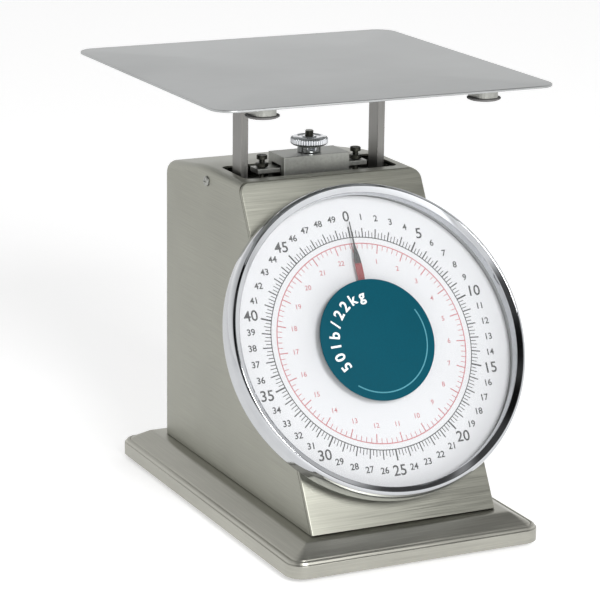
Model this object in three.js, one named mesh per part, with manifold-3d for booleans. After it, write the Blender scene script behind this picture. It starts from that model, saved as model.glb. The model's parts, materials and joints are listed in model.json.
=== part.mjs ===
// A mechanical dial platform scale for 50 lb, in millimetres, with +Z up and the dial facing -Y.
// A folded steel body stands on a sheet pan. Two springs hang the platform's frame from a yoke
// under the top bridge. As the frame sinks, a rack turns a pinion and the pointer on the dial.
import * as THREE from 'three';
import { mergeVertices } from 'three/addons/utils/BufferGeometryUtils.js';
import { ConvexGeometry } from 'three/addons/geometries/ConvexGeometry.js';
import Module from 'manifold-3d';

const wasm = await Module();
wasm.setup();

// ---------------------------------------------------------------- driving dimensions
const GAP = 0.3;                       // free space kept between touching pieces
const SHEET = 1.2;                     // body sheet
const PLATE = 1.5;                     // pan, chassis and frame sheet

const PLATFORM_SIDE = 228.6;           // a 9 inch square plate
const PLATFORM_TOP = 279;
const PLATFORM_SHEET = 1.5;
const PLATFORM_RIM = 2.6;              // depth of the turned-down edge
const PLATFORM_CORNER = 13;
const PLATFORM_Y = 23.1;               // the platform's centre, behind the middle of the footprint

const BODY_HALF = 63;
const BODY_BOTTOM = 20.6;
const BODY_TOP = 215.2;
const BODY_BACK = 110.1;
const PANEL_FOOT = [-116.9, 20.3];     // bottom edge of the front panel's face (Y, Z)
const PANEL_HEAD = [-8.2, BODY_TOP];   // its top edge
const SLOPE_START = 53;                // where the flat top starts to fall to the back
const SLOPE_END = [103, 208];
const BACK_CORNER = 8;
const SIDE_BEND = 6;                   // bend between the top and the sides, and down the rear corners
const WINDOW = { x: 42, z: [58, 166] };  // service opening in the back

const PAN_HALF = 85.6;
const PAN_FRONT = -137.4;
const PAN_BACK = 134.2;
const PAN_LIP = [3, 11.1];             // bottom and top of the upright lip
const PAN_TOP = 20.3;
const LEDGE_HALF = 69.5;
const LEDGE_FRONT = -123.4;
const LEDGE_BACK = 117.8;
const FOOT_AT = { x: 57, front: -106, back: 106 };

const DIAL_UP = 112.4;                 // dial axis above the panel's bottom edge, along its slope
const CASE_R = 96;
const BEZEL_R = 99.6;
const BEZEL_FRONT = 23;
const DIAL_FACE = 8.2;
const LENS_BACK = 13.2;
const DISC_R = 38.5;
const ROUND = 48;                      // facets round the dial's large rings

const TEETH = 12;                      // pinion: one turn for the full load
const MODULE = 0.6;
const PRESSURE = THREE.MathUtils.degToRad(25);
const THINNING = 0.08;                 // taken off each flank, so that the teeth run free
const GEAR_DEPTH = -25;                // the middle of the rack and pinion behind the panel's face

const POST_X = 48;
const POST_SIZE = [5, 13];
const SPRING_X = 33;
const SPRING_R = 7.6;
const BEAM_Z = [112, 124];
const LINK_REACH = 67;                 // length of a check link between its pivots
const LINK_RISE = 9.875;               // how far its front end starts above its pivot
const LINK_Z = { upper: 180, lower: 70 };
const LINK_PIVOT_Y = PLATFORM_Y + 66.6;
const ROD_R = 2.5;                     // the rods that the check links swing on
const STUD_R = 2;                      // the posts' studs that lift the links' front ends
const SIDE_INNER = 59.9;               // inner face of the chassis sides
const BORE_GAP = 0.4;                  // free space round a screw in its hole
const SMALL_SCREW_R = 1.8;
const SHAFT_R = 1.5;                   // pinion shaft and rack pin

// ---------------------------------------------------------------- derived values
const rise = BODY_TOP - PANEL_FOOT[1];
const PANEL_LENGTH = Math.hypot(PANEL_HEAD[0] - PANEL_FOOT[0], rise);
const RAKE = Math.atan2(PANEL_HEAD[0] - PANEL_FOOT[0], rise);   // the panel's lean from upright
const PITCH_R = TEETH * MODULE / 2;
const PITCH = Math.PI * MODULE;
const LINK_ARM_X = [POST_X + 4.2, POST_X + 5.8];

// ---------------------------------------------------------------- solids
function weld(geometry) {
  const bare = geometry.clone();
  bare.deleteAttribute('normal');
  bare.deleteAttribute('uv');
  const merged = mergeVertices(bare, 1e-4);
  const source = merged.index.array;
  const kept = [];
  for (let i = 0; i < source.length; i += 3) {
    const [a, b, c] = [source[i], source[i + 1], source[i + 2]];
    if (a !== b && b !== c && c !== a) kept.push(a, b, c);
  }
  const out = new THREE.BufferGeometry();
  out.setAttribute('position', merged.attributes.position);
  out.setIndex(kept);
  return out;
}

// Turns a closed geometry the right way out, by the sign of its volume.
function faceOut(geometry) {
  const welded = weld(geometry);
  const p = welded.attributes.position;
  const index = welded.index.array;
  const [a, b, c] = [new THREE.Vector3(), new THREE.Vector3(), new THREE.Vector3()];
  let volume = 0;
  for (let i = 0; i < index.length; i += 3) {
    a.fromBufferAttribute(p, index[i]);
    b.fromBufferAttribute(p, index[i + 1]);
    c.fromBufferAttribute(p, index[i + 2]);
    volume += a.dot(b.cross(c));
  }
  if (volume < 0) {
    for (let i = 0; i < index.length; i += 3) {
      [index[i + 1], index[i + 2]] = [index[i + 2], index[i + 1]];
    }
  }
  welded.computeVertexNormals();
  return welded;
}

function toSolid(geometry) {
  const welded = faceOut(geometry);
  return new wasm.Manifold(new wasm.Mesh({
    numProp: 3,
    vertProperties: Float32Array.from(welded.attributes.position.array),
    triVerts: Uint32Array.from(welded.index.array),
  }));
}

function fromSolid(solid) {
  const mesh = solid.getMesh();
  const geometry = new THREE.BufferGeometry();
  geometry.setAttribute('position', new THREE.BufferAttribute(mesh.vertProperties, 3));
  geometry.setIndex(new THREE.BufferAttribute(mesh.triVerts, 1));
  geometry.computeVertexNormals();
  return geometry;
}

function join(first, ...others) {
  return fromSolid(others.reduce((solid, g) => solid.add(toSolid(g)), toSolid(first)));
}

function cut(body, ...tools) {
  return fromSolid(tools.reduce((solid, g) => solid.subtract(toSolid(g)), toSolid(body)));
}

function block([x0, x1], [y0, y1], [z0, z1]) {
  const box = new THREE.BoxGeometry(x1 - x0, y1 - y0, z1 - z0);
  return box.translate((x0 + x1) / 2, (y0 + y1) / 2, (z0 + z1) / 2);
}

// A round bar along one axis, from a to b. p and q place its centre on the other two axes, in order.
function bar(axis, radius, [a, b], [p, q], sides = 12) {
  const rod = new THREE.CylinderGeometry(radius, radius, b - a, sides);
  if (axis === 'x') return rod.rotateZ(-Math.PI / 2).translate((a + b) / 2, p, q);
  if (axis === 'y') return rod.translate(p, (a + b) / 2, q);
  return rod.rotateX(Math.PI / 2).translate(p, q, (a + b) / 2);
}

// A closed profile of [radius, height] points turned about Z.
function turn(profile, sides = 24) {
  const points = profile.map(([r, z]) => new THREE.Vector2(r, z));
  const onAxis = profile[0][0] === 0 && profile[profile.length - 1][0] === 0;
  if (!onAxis) points.push(points[0].clone());
  return faceOut(new THREE.LatheGeometry(points, sides).rotateX(Math.PI / 2));
}

function outline(points) {
  return new THREE.Shape(points.map(([x, y]) => new THREE.Vector2(x, y)));
}

function roundedRect([x0, x1], [y0, y1], r, steps = 4) {
  const centres = [[x1 - r, y1 - r, 0], [x0 + r, y1 - r, 1], [x0 + r, y0 + r, 2], [x1 - r, y0 + r, 3]];
  const points = [];
  for (const [cx, cy, quarter] of centres) {
    for (let i = 0; i <= steps; i++) {
      const angle = (quarter + i / steps) * Math.PI / 2;
      points.push([cx + r * Math.cos(angle), cy + r * Math.sin(angle)]);
    }
  }
  return points;
}

function slab(shape, [z0, z1]) {
  const depth = z1 - z0;
  return new THREE.ExtrudeGeometry(shape, { depth, bevelEnabled: false, curveSegments: 12 })
    .translate(0, 0, z0);
}

// A profile of (Y, Z) points carried along X.
function alongX(shape, [x0, x1]) {
  const turned = new THREE.Matrix4().makeBasis(
    new THREE.Vector3(0, 1, 0), new THREE.Vector3(0, 0, 1), new THREE.Vector3(1, 0, 0));
  return slab(shape, [x0, x1]).applyMatrix4(turned);
}

// A profile of (Z, X) points carried along Y.
function alongY(shape, [y0, y1]) {
  const turned = new THREE.Matrix4().makeBasis(
    new THREE.Vector3(0, 0, 1), new THREE.Vector3(1, 0, 0), new THREE.Vector3(0, 1, 0));
  return slab(shape, [y0, y1]).applyMatrix4(turned);
}

// A screw from its seat along +Z: a shallow domed head above, a threaded shank below.
function screw(shankR, headR, headHeight, length) {
  return turn([
    [0, -length], [shankR, -length], [shankR, 0], [headR, 0], [headR, headHeight * 0.45],
    [headR * 0.7, headHeight], [0, headHeight],
  ], 10);
}

// ---------------------------------------------------------------- finishes
const finish = (color, roughness, metalness) => ({ color, roughness, metalness });
const STAINLESS = finish(0xa5a7a6, 0.42, 1);
const BODY_STEEL = finish(0x9a9a92, 0.45, 1);
const PANEL_STEEL = finish(0xb9b9af, 0.4, 1);
const DARK_STEEL = finish(0x3c3c3a, 0.5, 1);
const ZINC = finish(0xb4b6b2, 0.35, 1);
const CHROME = finish(0xd6d8da, 0.08, 1);
const BRASS = finish(0xb08d4a, 0.35, 1);
const BLACK_RUBBER = finish(0x1b1b1b, 0.85, 0);
const NYLON = finish(0xe6e3d8, 0.55, 0);
const WHITE_ENAMEL = finish(0xf4f4f4, 0.4, 0);
const TEAL_LABEL = finish(0x005465, 0.45, 0);
const CLEAR = finish(0xe8eef0, 0.05, 0);
const RED_PAINT = finish(0xc0202a, 0.4, 0);
const SPRING_STEEL = finish(0x6f7274, 0.35, 1);

const scale = new THREE.Group();
const dial = new THREE.Group();        // x across, y up the panel's slope, z out of the dial
dial.rotation.x = Math.PI / 2 - RAKE;
dial.position.set(
  0,
  PANEL_FOOT[0] + DIAL_UP * Math.sin(RAKE),
  PANEL_FOOT[1] + DIAL_UP * Math.cos(RAKE));
scale.add(dial);

function add(parent, name, geometry, { color, roughness, metalness }) {
  const material = new THREE.MeshStandardMaterial({ color, roughness, metalness });
  const mesh = new THREE.Mesh(faceOut(geometry), material);
  mesh.name = name;
  parent.add(mesh);
  return mesh;
}

const sides = [['left', -1], ['right', 1]];
const ends = [['front', FOOT_AT.front], ['rear', FOOT_AT.back]];

// ---------------------------------------------------------------- base
function ring([x0, x1], [y0, y1], r, z) {
  return roundedRect([x0, x1], [y0, y1], r).map(([x, y]) => new THREE.Vector3(x, y, z));
}

// The pan's slopes as the hull of three outlines: ledge, foot of the slope, and lip.
function panHull(inset, bottom) {
  const out = PAN_HALF - inset;
  const ledge = LEDGE_HALF - inset / 2;
  const top = PAN_TOP - inset;
  const knee = PAN_LIP[1] - inset * 0.6;
  const rim = [PAN_FRONT + inset, PAN_BACK - inset];
  return new ConvexGeometry([
    ...ring([-ledge, ledge], [LEDGE_FRONT + inset / 2, LEDGE_BACK - inset / 2], 2, top),
    ...ring([-out, out], rim, 10 - inset, knee),
    ...ring([-out, out], rim, 10 - inset, bottom),
  ]);
}

const FOOT = { bore: 2.4, recess: 5, recessTop: 4.2, tread: 7.6, top: 9.5 };   // radii, and one height
const FOOT_SCREW = { shank: 2, head: 4, headHeight: 2.4, length: 21 };

function basePan() {
  const past = 5;
  const holes = sides.flatMap(([, s]) => ends.map(([, y]) => (
    bar('z', FOOT_SCREW.shank + 0.6, [PAN_TOP - 10, PAN_TOP + past], [s * FOOT_AT.x, y]))));
  return cut(panHull(0, PAN_LIP[0]), panHull(PLATE, PAN_LIP[0] - past), ...holes);
}

function foot() {
  const top = PAN_TOP - PLATE - GAP;
  const { bore, recess, recessTop, tread } = FOOT;
  return turn([
    [bore, recessTop], [recess, recessTop], [recess, 0], [tread, 0], [tread + 0.6, 0.8],
    [FOOT.top, top], [bore, top],
  ], 16);
}

add(scale, 'base_pan', basePan(), STAINLESS);
for (const [side, s] of sides) {
  for (const [end, y] of ends) {
    add(scale, `foot_${end}_${side}`, foot(), BLACK_RUBBER).position.set(s * FOOT_AT.x, y, 0);
    const { shank, head, headHeight, length } = FOOT_SCREW;
    const bolt = add(scale, `foot_screw_${end}_${side}`, screw(shank, head, headHeight, length), ZINC);
    bolt.position.set(s * FOOT_AT.x, y, FOOT.recessTop - GAP);
    bolt.rotation.x = Math.PI;
  }
}

// ---------------------------------------------------------------- body
// The side outline of the body, pulled in by inset and open past the front and the bottom.
function bodyOutline(inset, front, bottom) {
  const top = BODY_TOP - inset;
  const back = BODY_BACK - inset;
  const shape = new THREE.Shape();
  const lean = (z) => PANEL_FOOT[0] + (z - PANEL_FOOT[1]) * Math.tan(RAKE) + front;
  shape.moveTo(lean(bottom), bottom);
  shape.lineTo(lean(top), top);
  shape.lineTo(SLOPE_START, top);
  shape.lineTo(SLOPE_END[0] - inset, SLOPE_END[1] - inset);
  shape.quadraticCurveTo(back, SLOPE_END[1] - inset - 1, back, SLOPE_END[1] - BACK_CORNER - 1);
  shape.lineTo(back, bottom);
  return shape;
}

// The body as a hull of its side outlines, which shrink as they go round the side bend.
function bodyHull(wall, front, bottom) {
  const steps = 4;
  const reach = SIDE_BEND - wall;
  const points = [];
  for (let i = 0; i <= steps; i++) {
    const angle = i / steps * Math.PI / 2;
    const x = BODY_HALF - SIDE_BEND + reach * Math.cos(angle);
    const side = bodyOutline(SIDE_BEND - reach * Math.sin(angle), front, bottom).getPoints(4);
    for (const p of side) points.push(new THREE.Vector3(x, p.x, p.y), new THREE.Vector3(-x, p.x, p.y));
  }
  return new ConvexGeometry(points);
}

const OPENING = { x: 53.5, y: [2, 42], corner: 5 };
const SHELL_SCREW = [41, 207];
const COVER_SCREW = { x: 46, z: 112 };
const COVER = { x: 51, z: [50, 174], corner: 6 };
const VENT = { x: 18, height: 2.4, pitch: 6, lowest: 134, count: 5 };

function coverHoles() {
  const y = [BODY_BACK - 10, BODY_BACK + 10];
  return sides.map(([, s]) => bar('y', SMALL_SCREW_R + BORE_GAP, y, [s * COVER_SCREW.x, COVER_SCREW.z]));
}

function bodyShell() {
  const behindPanel = 2.2 / Math.cos(RAKE);
  const outer = bodyHull(0, behindPanel, BODY_BOTTOM);
  const inner = bodyHull(SHEET, -20, BODY_BOTTOM - 10);
  const top = [BODY_TOP - 10, BODY_TOP + 10];
  const opening = slab(outline(roundedRect([-OPENING.x, OPENING.x], OPENING.y, OPENING.corner)), top);
  const window = block([-WINDOW.x, WINDOW.x], [BODY_BACK - 5, BODY_BACK + 5], WINDOW.z);
  const screwHole = bar('x', SMALL_SCREW_R + GAP, [-BODY_HALF - 10, BODY_HALF + 10], SHELL_SCREW);
  return cut(outer, inner, opening, window, screwHole, ...coverHoles());
}

function rearCover() {
  const plate = outline(roundedRect(COVER.z, [-COVER.x, COVER.x], COVER.corner));
  const vents = Array.from({ length: VENT.count }, (_, i) => {
    const z = VENT.lowest + i * VENT.pitch;
    return block([-VENT.x, VENT.x], [BODY_BACK - 10, BODY_BACK + 10], [z, z + VENT.height]);
  });
  return cut(alongY(plate, [BODY_BACK + GAP, BODY_BACK + GAP + SHEET]), ...coverHoles(), ...vents);
}

add(scale, 'body_shell', bodyShell(), BODY_STEEL);
add(scale, 'rear_cover', rearCover(), BODY_STEEL);
for (const [side, s] of sides) {
  const fixing = add(scale, `shell_screw_${side}`, screw(SMALL_SCREW_R, 3.4, 1.8, 4.4), ZINC);
  fixing.position.set(s * (BODY_HALF + GAP), SHELL_SCREW[0], SHELL_SCREW[1]);
  fixing.rotation.y = s * Math.PI / 2;
  const holder = add(scale, `cover_screw_${side}`, screw(SMALL_SCREW_R, 3.4, 1.8, 6), ZINC);
  holder.position.set(s * COVER_SCREW.x, BODY_BACK + SHEET + 2 * GAP, COVER_SCREW.z);
  holder.rotation.x = -Math.PI / 2;
}

// The front panel in the dial's own directions: a face sheet with flanges turned back inside the sides.
const CASE_SCREW = [22, 9];
const caseScrews = [[-1, -1], [1, -1], [-1, 1], [1, 1]].map(([sx, sy]) => [sx * CASE_SCREW[0], sy * CASE_SCREW[1]]);

// The panel's face: square at the foot, and rounded at the head where the shell's side bends are.
function panelOutline(low, high) {
  const [steps, rise] = [4, SIDE_BEND / Math.cos(RAKE)];
  const corner = Array.from({ length: steps + 1 }, (_, i) => {
    const angle = i / steps * Math.PI / 2;
    return [BODY_HALF - SIDE_BEND + SIDE_BEND * Math.cos(angle), high - rise + rise * Math.sin(angle)];
  });
  const mirrored = corner.map(([x, y]) => [-x, y]).reverse();
  return outline([[-BODY_HALF, low], [BODY_HALF, low], ...corner, ...mirrored]);
}

const FLANGE = { depth: 12, short: 14 };   // how far it goes back, and its distance from the face's ends
const AXIS_HOLE_R = 10;

function caseScrewHoles(span) {
  return caseScrews.map(([x, y]) => bar('z', SMALL_SCREW_R + GAP, span, [x, y], 8));
}

function frontPanel() {
  const low = -DIAL_UP + 1.1;
  const high = PANEL_LENGTH - DIAL_UP;
  const flangeOut = BODY_HALF - SHEET - GAP;
  const face = slab(panelOutline(low, high), [-SHEET, 0]);
  const flanges = sides.map(([, s]) => {
    const x = [s * flangeOut, s * (flangeOut - SHEET)].sort((a, b) => a - b);
    return block(x, [low + FLANGE.short, high - FLANGE.short], [-FLANGE.depth, -SHEET / 2]);
  });
  return cut(join(face, ...flanges), bar('z', AXIS_HOLE_R, [-10, 10], [0, 0], 24), ...caseScrewHoles([-10, 10]));
}

add(dial, 'front_panel', frontPanel(), PANEL_STEEL);

// ---------------------------------------------------------------- chassis inside the body
const CHASSIS_TOP = [204.5, 206];

function chassis() {
  const [front, back, foot, toeWidth] = [-14, 98, PAN_TOP + 0.9, 14];
  const flank = outline([
    [front, foot], [back, foot], [back, 202], [56, BODY_TOP - 6], [8, BODY_TOP - 5.4], [8, 150], [front, 110]]);
  const outer = SIDE_INNER + PLATE;
  const walls = sides.map(([, s]) => {
    const x = [s * SIDE_INNER, s * outer].sort((a, b) => a - b);
    const toe = [s * (SIDE_INNER - toeWidth), s * outer].sort((a, b) => a - b);
    return join(alongX(flank, x), block(toe, [front, back], [foot, foot + PLATE]));
  });
  const roof = block([-outer, outer], [8, 50], CHASSIS_TOP);
  const throughRoof = [CHASSIS_TOP[0] - 4, CHASSIS_TOP[1] + 4];
  const throughSides = [-outer - 10, outer + 10];
  const postGaps = sides.map(([, s]) => {
    const x = [s * (POST_X - 6.4), s * (POST_X + 9)].sort((a, b) => a - b);
    return block(x, [PLATFORM_Y - 11, PLATFORM_Y + 11], throughRoof);
  });
  const hangerHoles = sides.map(([, s]) => bar('z', 3.2, throughRoof, [s * SPRING_X, PLATFORM_Y], 12));
  const stemHole = bar('z', 6, throughRoof, [0, PLATFORM_Y], 12);
  const rodHoles = Object.values(LINK_Z).map((z) => (
    bar('x', ROD_R + BORE_GAP, throughSides, [LINK_PIVOT_Y, z], 12)));
  const screwHole = bar('x', SMALL_SCREW_R + GAP, throughSides, SHELL_SCREW);
  const windows = block(throughSides, [30, 78], [95, 160]);
  return cut(join(...walls, roof), ...postGaps, ...hangerHoles, stemHole, ...rodHoles, screwHole, windows);
}

add(scale, 'chassis', chassis(), ZINC);

for (const [name, z] of Object.entries(LINK_Z)) {
  const reach = SIDE_INNER + PLATE - 0.1;
  const rod = bar('x', ROD_R, [-reach, reach], [LINK_PIVOT_Y, z], 12);
  add(scale, `${name}_link_rod`, rod, ZINC);
}

// A folded channel over the yoke. Its end walls are notched where the yoke comes out.
const BRIDGE = { x: 23, y: 11.5, top: 224.5 };
const YOKE_Z = [214, 217];

function topBridge() {
  const y = [PLATFORM_Y - BRIDGE.y, PLATFORM_Y + BRIDGE.y];
  const foot = CHASSIS_TOP[1] + GAP;
  const outer = block([-BRIDGE.x, BRIDGE.x], y, [foot, BRIDGE.top]);
  const inside = block([PLATE - BRIDGE.x, BRIDGE.x - PLATE], [y[0] + PLATE, y[1] - PLATE], [foot - 5, BRIDGE.top - PLATE]);
  const notch = block([-30, 30], [PLATFORM_Y - 7, PLATFORM_Y + 7], [foot - 5, YOKE_Z[1] + 1.6]);
  const stemHole = bar('z', 3, [foot, 230], [0, PLATFORM_Y], 12);
  return cut(outer, inside, notch, stemHole);
}

add(scale, 'top_bridge', topBridge(), ZINC);

// ---------------------------------------------------------------- zero adjustment
const KNOB_SEAT = BRIDGE.top + GAP;
const STEM_R = 2.5;

function zeroKnob() {
  const bore = STEM_R + GAP;
  return turn([
    [bore, 0], [7.6, 0], [7.6, 4], [10.6, 4.6], [12, 5.4], [12, 9.2], [11.2, 10], [bore, 10],
  ], 28);
}

function yoke() {
  const beam = block([-38.5, 38.5], [PLATFORM_Y - 6, PLATFORM_Y + 6], YOKE_Z);
  const stem = bar('z', STEM_R, [YOKE_Z[0] + 1, 238.5], [0, PLATFORM_Y], 12);
  const holes = sides.map(([, s]) => bar('z', 2.3, [205, 225], [s * SPRING_X, PLATFORM_Y], 12));
  return cut(join(beam, stem), ...holes);
}

const SPRING_TOP = 190.6;
const SPRING_FOOT = 127.3;

// A threaded rod with a slotted cap, and a lock nut that rests on the yoke.
function hangerScrew() {
  const [rod, nut, cap] = [2, 4.2, 3.4];
  const low = SPRING_TOP + GAP;
  const nutZ = [YOKE_Z[1] + GAP, YOKE_Z[1] + 3];
  const capZ = [222.4, 225];
  return turn([
    [0, low], [rod, low], [rod, nutZ[0]], [nut, nutZ[0]], [nut, nutZ[1]], [rod, nutZ[1]],
    [rod, capZ[0]], [cap, capZ[0]], [cap, capZ[1]], [0, capZ[1]],
  ], 12);
}

add(scale, 'zero_knob', zeroKnob(), CHROME).position.set(0, PLATFORM_Y, KNOB_SEAT);
add(scale, 'yoke', yoke(), ZINC);
for (const [side, s] of sides) {
  add(scale, `hanger_screw_${side}`, hangerScrew(), DARK_STEEL).position.set(s * SPRING_X, PLATFORM_Y, 0);
}

// ---------------------------------------------------------------- springs, as the space their coils fill
function springSpace() {
  const [hook, hookLength] = [1.3, 5];
  return turn([
    [0, SPRING_FOOT], [hook, SPRING_FOOT], [hook, SPRING_FOOT + hookLength],
    [SPRING_R, SPRING_FOOT + hookLength + 1], [SPRING_R, SPRING_TOP - hookLength - 1],
    [hook, SPRING_TOP - hookLength], [hook, SPRING_TOP], [0, SPRING_TOP],
  ], 12);
}

for (const [side, s] of sides) {
  add(scale, `spring_${side}`, springSpace(), SPRING_STEEL).position.set(s * SPRING_X, PLATFORM_Y, 0);
}

// ---------------------------------------------------------------- carriage: frame, spider and platform
const SPIDER_Z = [270.4, 276];
const ARM = { x: 75, reach: 89.5, half: 7, past: 9 };
const POST_BOTTOM = 66;

function carriageFrame() {
  const [w, d] = POST_SIZE;
  const posts = sides.map(([, s]) => {
    const x = [s * POST_X - w / 2, s * POST_X + w / 2];
    return block(x, [PLATFORM_Y - d / 2, PLATFORM_Y + d / 2], [POST_BOTTOM, SPIDER_Z[0] - GAP]);
  });
  const studs = sides.flatMap(([, s]) => Object.values(LINK_Z).map((z) => {
    const x = [s * POST_X, s * (LINK_ARM_X[1] + 1.6)].sort((a, b) => a - b);
    return bar('x', STUD_R, x, [PLATFORM_Y, z + LINK_RISE], 10);
  }));
  const eyes = sides.map(([, s]) => bar('z', 2.5, [BEAM_Z[1] - 1, SPRING_FOOT - GAP], [s * SPRING_X, PLATFORM_Y], 10));
  const beam = block([-POST_X, POST_X], [PLATFORM_Y - 6, PLATFORM_Y + 6], BEAM_Z);
  const hollowHalf = POST_X - 3.5;
  const hollow = block(
    [-hollowHalf, hollowHalf], [PLATFORM_Y - 6 + PLATE, PLATFORM_Y + 6 - PLATE], [BEAM_Z[0] - 5, BEAM_Z[1] - PLATE]);
  const pistonHole = bar('z', 2.4, [100, 130], [0, PLATFORM_Y], 12);
  return cut(join(cut(beam, hollow), ...posts, ...studs, ...eyes), pistonHole);
}

function platformSpider() {
  const cross = block([-ARM.x, ARM.x], [PLATFORM_Y - 12, PLATFORM_Y + 12], SPIDER_Z);
  const arms = sides.map(([, s]) => {
    const shape = outline(roundedRect(
      [s * ARM.x - ARM.half, s * ARM.x + ARM.half],
      [PLATFORM_Y - ARM.reach - ARM.past, PLATFORM_Y + ARM.reach + ARM.past], 5));
    return slab(shape, SPIDER_Z);
  });
  const holes = padPlaces.map(([, x, y]) => bar('z', PAD.neck + GAP, [SPIDER_Z[0] - 5, SPIDER_Z[1] + 5], [x, y], 24));
  return cut(join(cross, ...arms), ...holes);
}

const PAD = { bore: 2.6, neck: 5, collar: 8.5, button: 10.5, low: 268.4 };   // radii, and its lowest point
const PIN_R = 2.2;

const padPlaces = sides.flatMap(([side, s]) => [
  [`front_${side}`, s * ARM.x, PLATFORM_Y - ARM.reach],
  [`rear_${side}`, s * ARM.x, PLATFORM_Y + ARM.reach],
]);
const PLATFORM_UNDER = PLATFORM_TOP - PLATFORM_SHEET;

// A rubber grommet pushed through the arm's end. The platform's pin drops into its bore.
function platformPad() {
  const under = SPIDER_Z[0] - GAP;
  const over = SPIDER_Z[1] + GAP;
  const top = PLATFORM_UNDER - GAP;
  const { bore, neck, collar, button, low } = PAD;
  return turn([
    [bore, low], [button - 1, low], [button, low + 1], [button, under], [neck, under], [neck, over],
    [collar, over], [collar, top], [bore, top],
  ], 16);
}

function platform() {
  const half = PLATFORM_SIDE / 2;
  const span = (inset) => [[inset - half, half - inset], [PLATFORM_Y - half + inset, PLATFORM_Y + half - inset]];
  const rimBottom = PLATFORM_TOP - PLATFORM_RIM;
  const plate = slab(outline(roundedRect(...span(0), PLATFORM_CORNER)), [rimBottom, PLATFORM_TOP]);
  const under = slab(outline(roundedRect(...span(1.4), PLATFORM_CORNER - 1.4)), [rimBottom - 5, PLATFORM_UNDER]);
  const pins = padPlaces.map(([, x, y]) => bar('z', PIN_R, [271, PLATFORM_UNDER + 0.5], [x, y], 8));
  return join(cut(plate, under), ...pins);
}

add(scale, 'carriage_frame', carriageFrame(), STAINLESS);
add(scale, 'platform_spider', platformSpider(), ZINC);
add(scale, 'platform', platform(), STAINLESS);
for (const [place, x, y] of padPlaces) {
  add(scale, `platform_pad_${place}`, platformPad(), BLACK_RUBBER).position.set(x, y, 0);
}

// ---------------------------------------------------------------- check links
// Two arms and a web, straight along the link, turned about the rear rod into their rest position.
function checkLink() {
  const arms = sides.map(([, s]) => {
    const x = LINK_ARM_X.map((v) => s * v).sort((a, b) => a - b);
    return block(x, [-LINK_REACH - 6, 6], [-5, 5]);
  });
  const web = block([-LINK_ARM_X[0] - 0.8, LINK_ARM_X[0] + 0.8], [-16, -10], [-5, -3.4]);
  const rodHole = bar('x', ROD_R + BORE_GAP, [-60, 60], [0, 0], 12);
  const pinHole = bar('x', STUD_R + 1, [-60, 60], [-LINK_REACH, 0], 12);
  return cut(join(web, ...arms), rodHole, pinHole);
}

for (const [name, z] of Object.entries(LINK_Z)) {
  const link = add(scale, `${name}_check_link`, checkLink(), ZINC);
  link.position.set(0, LINK_PIVOT_Y, z);
  link.rotation.x = -Math.asin(LINK_RISE / LINK_REACH);
}

// ---------------------------------------------------------------- dashpot
const DASHPOT = { outer: 18, inner: 16.3, top: 76 };

function dashpotCylinder() {
  const foot = PAN_TOP + GAP;
  const { outer, inner, top } = DASHPOT;
  return turn([[0, foot], [outer, foot], [outer, top], [inner, top], [inner, foot + 1.6], [0, foot + 1.6]], 24);
}

function dashpotCap() {
  const { outer, top } = DASHPOT;
  return turn([
    [2.8, top + GAP], [outer + GAP, top + GAP], [outer + GAP, top - 8], [outer + 1.5, top - 8],
    [outer + 1.5, top + 2], [2.8, top + 2],
  ], 24);
}

function dashpotPiston() {
  return turn([
    [0, 56], [15.7, 56], [15.7, 61], [2, 62], [2, BEAM_Z[1] + GAP], [4.4, BEAM_Z[1] + GAP],
    [4.4, BEAM_Z[1] + 3.4], [2, BEAM_Z[1] + 3.4], [2, BEAM_Z[1] + 6], [0, BEAM_Z[1] + 6],
  ], 20);
}

add(scale, 'dashpot_cylinder', dashpotCylinder(), BRASS).position.y = PLATFORM_Y;
add(scale, 'dashpot_cap', dashpotCap(), ZINC).position.y = PLATFORM_Y;
add(scale, 'dashpot_piston', dashpotPiston(), ZINC).position.y = PLATFORM_Y;

// ---------------------------------------------------------------- rack, pinion and their frame
const PIN_UP = 44.6;                   // the rack's drive pin above the dial axis, up the slope
const RACK_BACK = 10;
const RACK_HALF = 2.5;

// Maps the dial's own (up, out) directions to the model's (Y, Z).
function slopeToBody(up, out) {
  return [
    dial.position.y + up * Math.sin(RAKE) - out * Math.cos(RAKE),
    dial.position.z + up * Math.cos(RAKE) + out * Math.sin(RAKE),
  ];
}

// An involute pinion: each flank unwinds from the base circle, thinned evenly.
function pinion() {
  const base = PITCH_R * Math.cos(PRESSURE);
  const tip = PITCH_R + MODULE;
  const root = PITCH_R - 1.25 * MODULE;
  const inv = (a) => Math.tan(a) - a;
  const halfPitch = Math.PI / (2 * TEETH) - THINNING / PITCH_R + inv(PRESSURE);
  const halfAt = (r) => (r <= base ? halfPitch : halfPitch - inv(Math.acos(base / r)));
  const radii = [root, base, (base + PITCH_R) / 2, PITCH_R, (PITCH_R + tip) / 2, tip];
  const points = [];
  for (let tooth = 0; tooth < TEETH; tooth++) {
    const middle = tooth * 2 * Math.PI / TEETH;
    for (const r of radii) points.push([r, middle - halfAt(r)]);
    for (const r of [...radii].reverse()) points.push([r, middle + halfAt(r)]);
  }
  const shape = outline(points.map(([r, a]) => [r * Math.cos(a), r * Math.sin(a)]));
  const hub = bar('z', 2.8, [GEAR_DEPTH - 7, GEAR_DEPTH], [0, 0], 12);
  const bore = bar('z', SHAFT_R + GAP, [GEAR_DEPTH - 20, GEAR_DEPTH + 20], [0, 0], 12);
  return cut(join(slab(shape, [GEAR_DEPTH - 3, GEAR_DEPTH + 3]), hub), bore);
}

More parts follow.
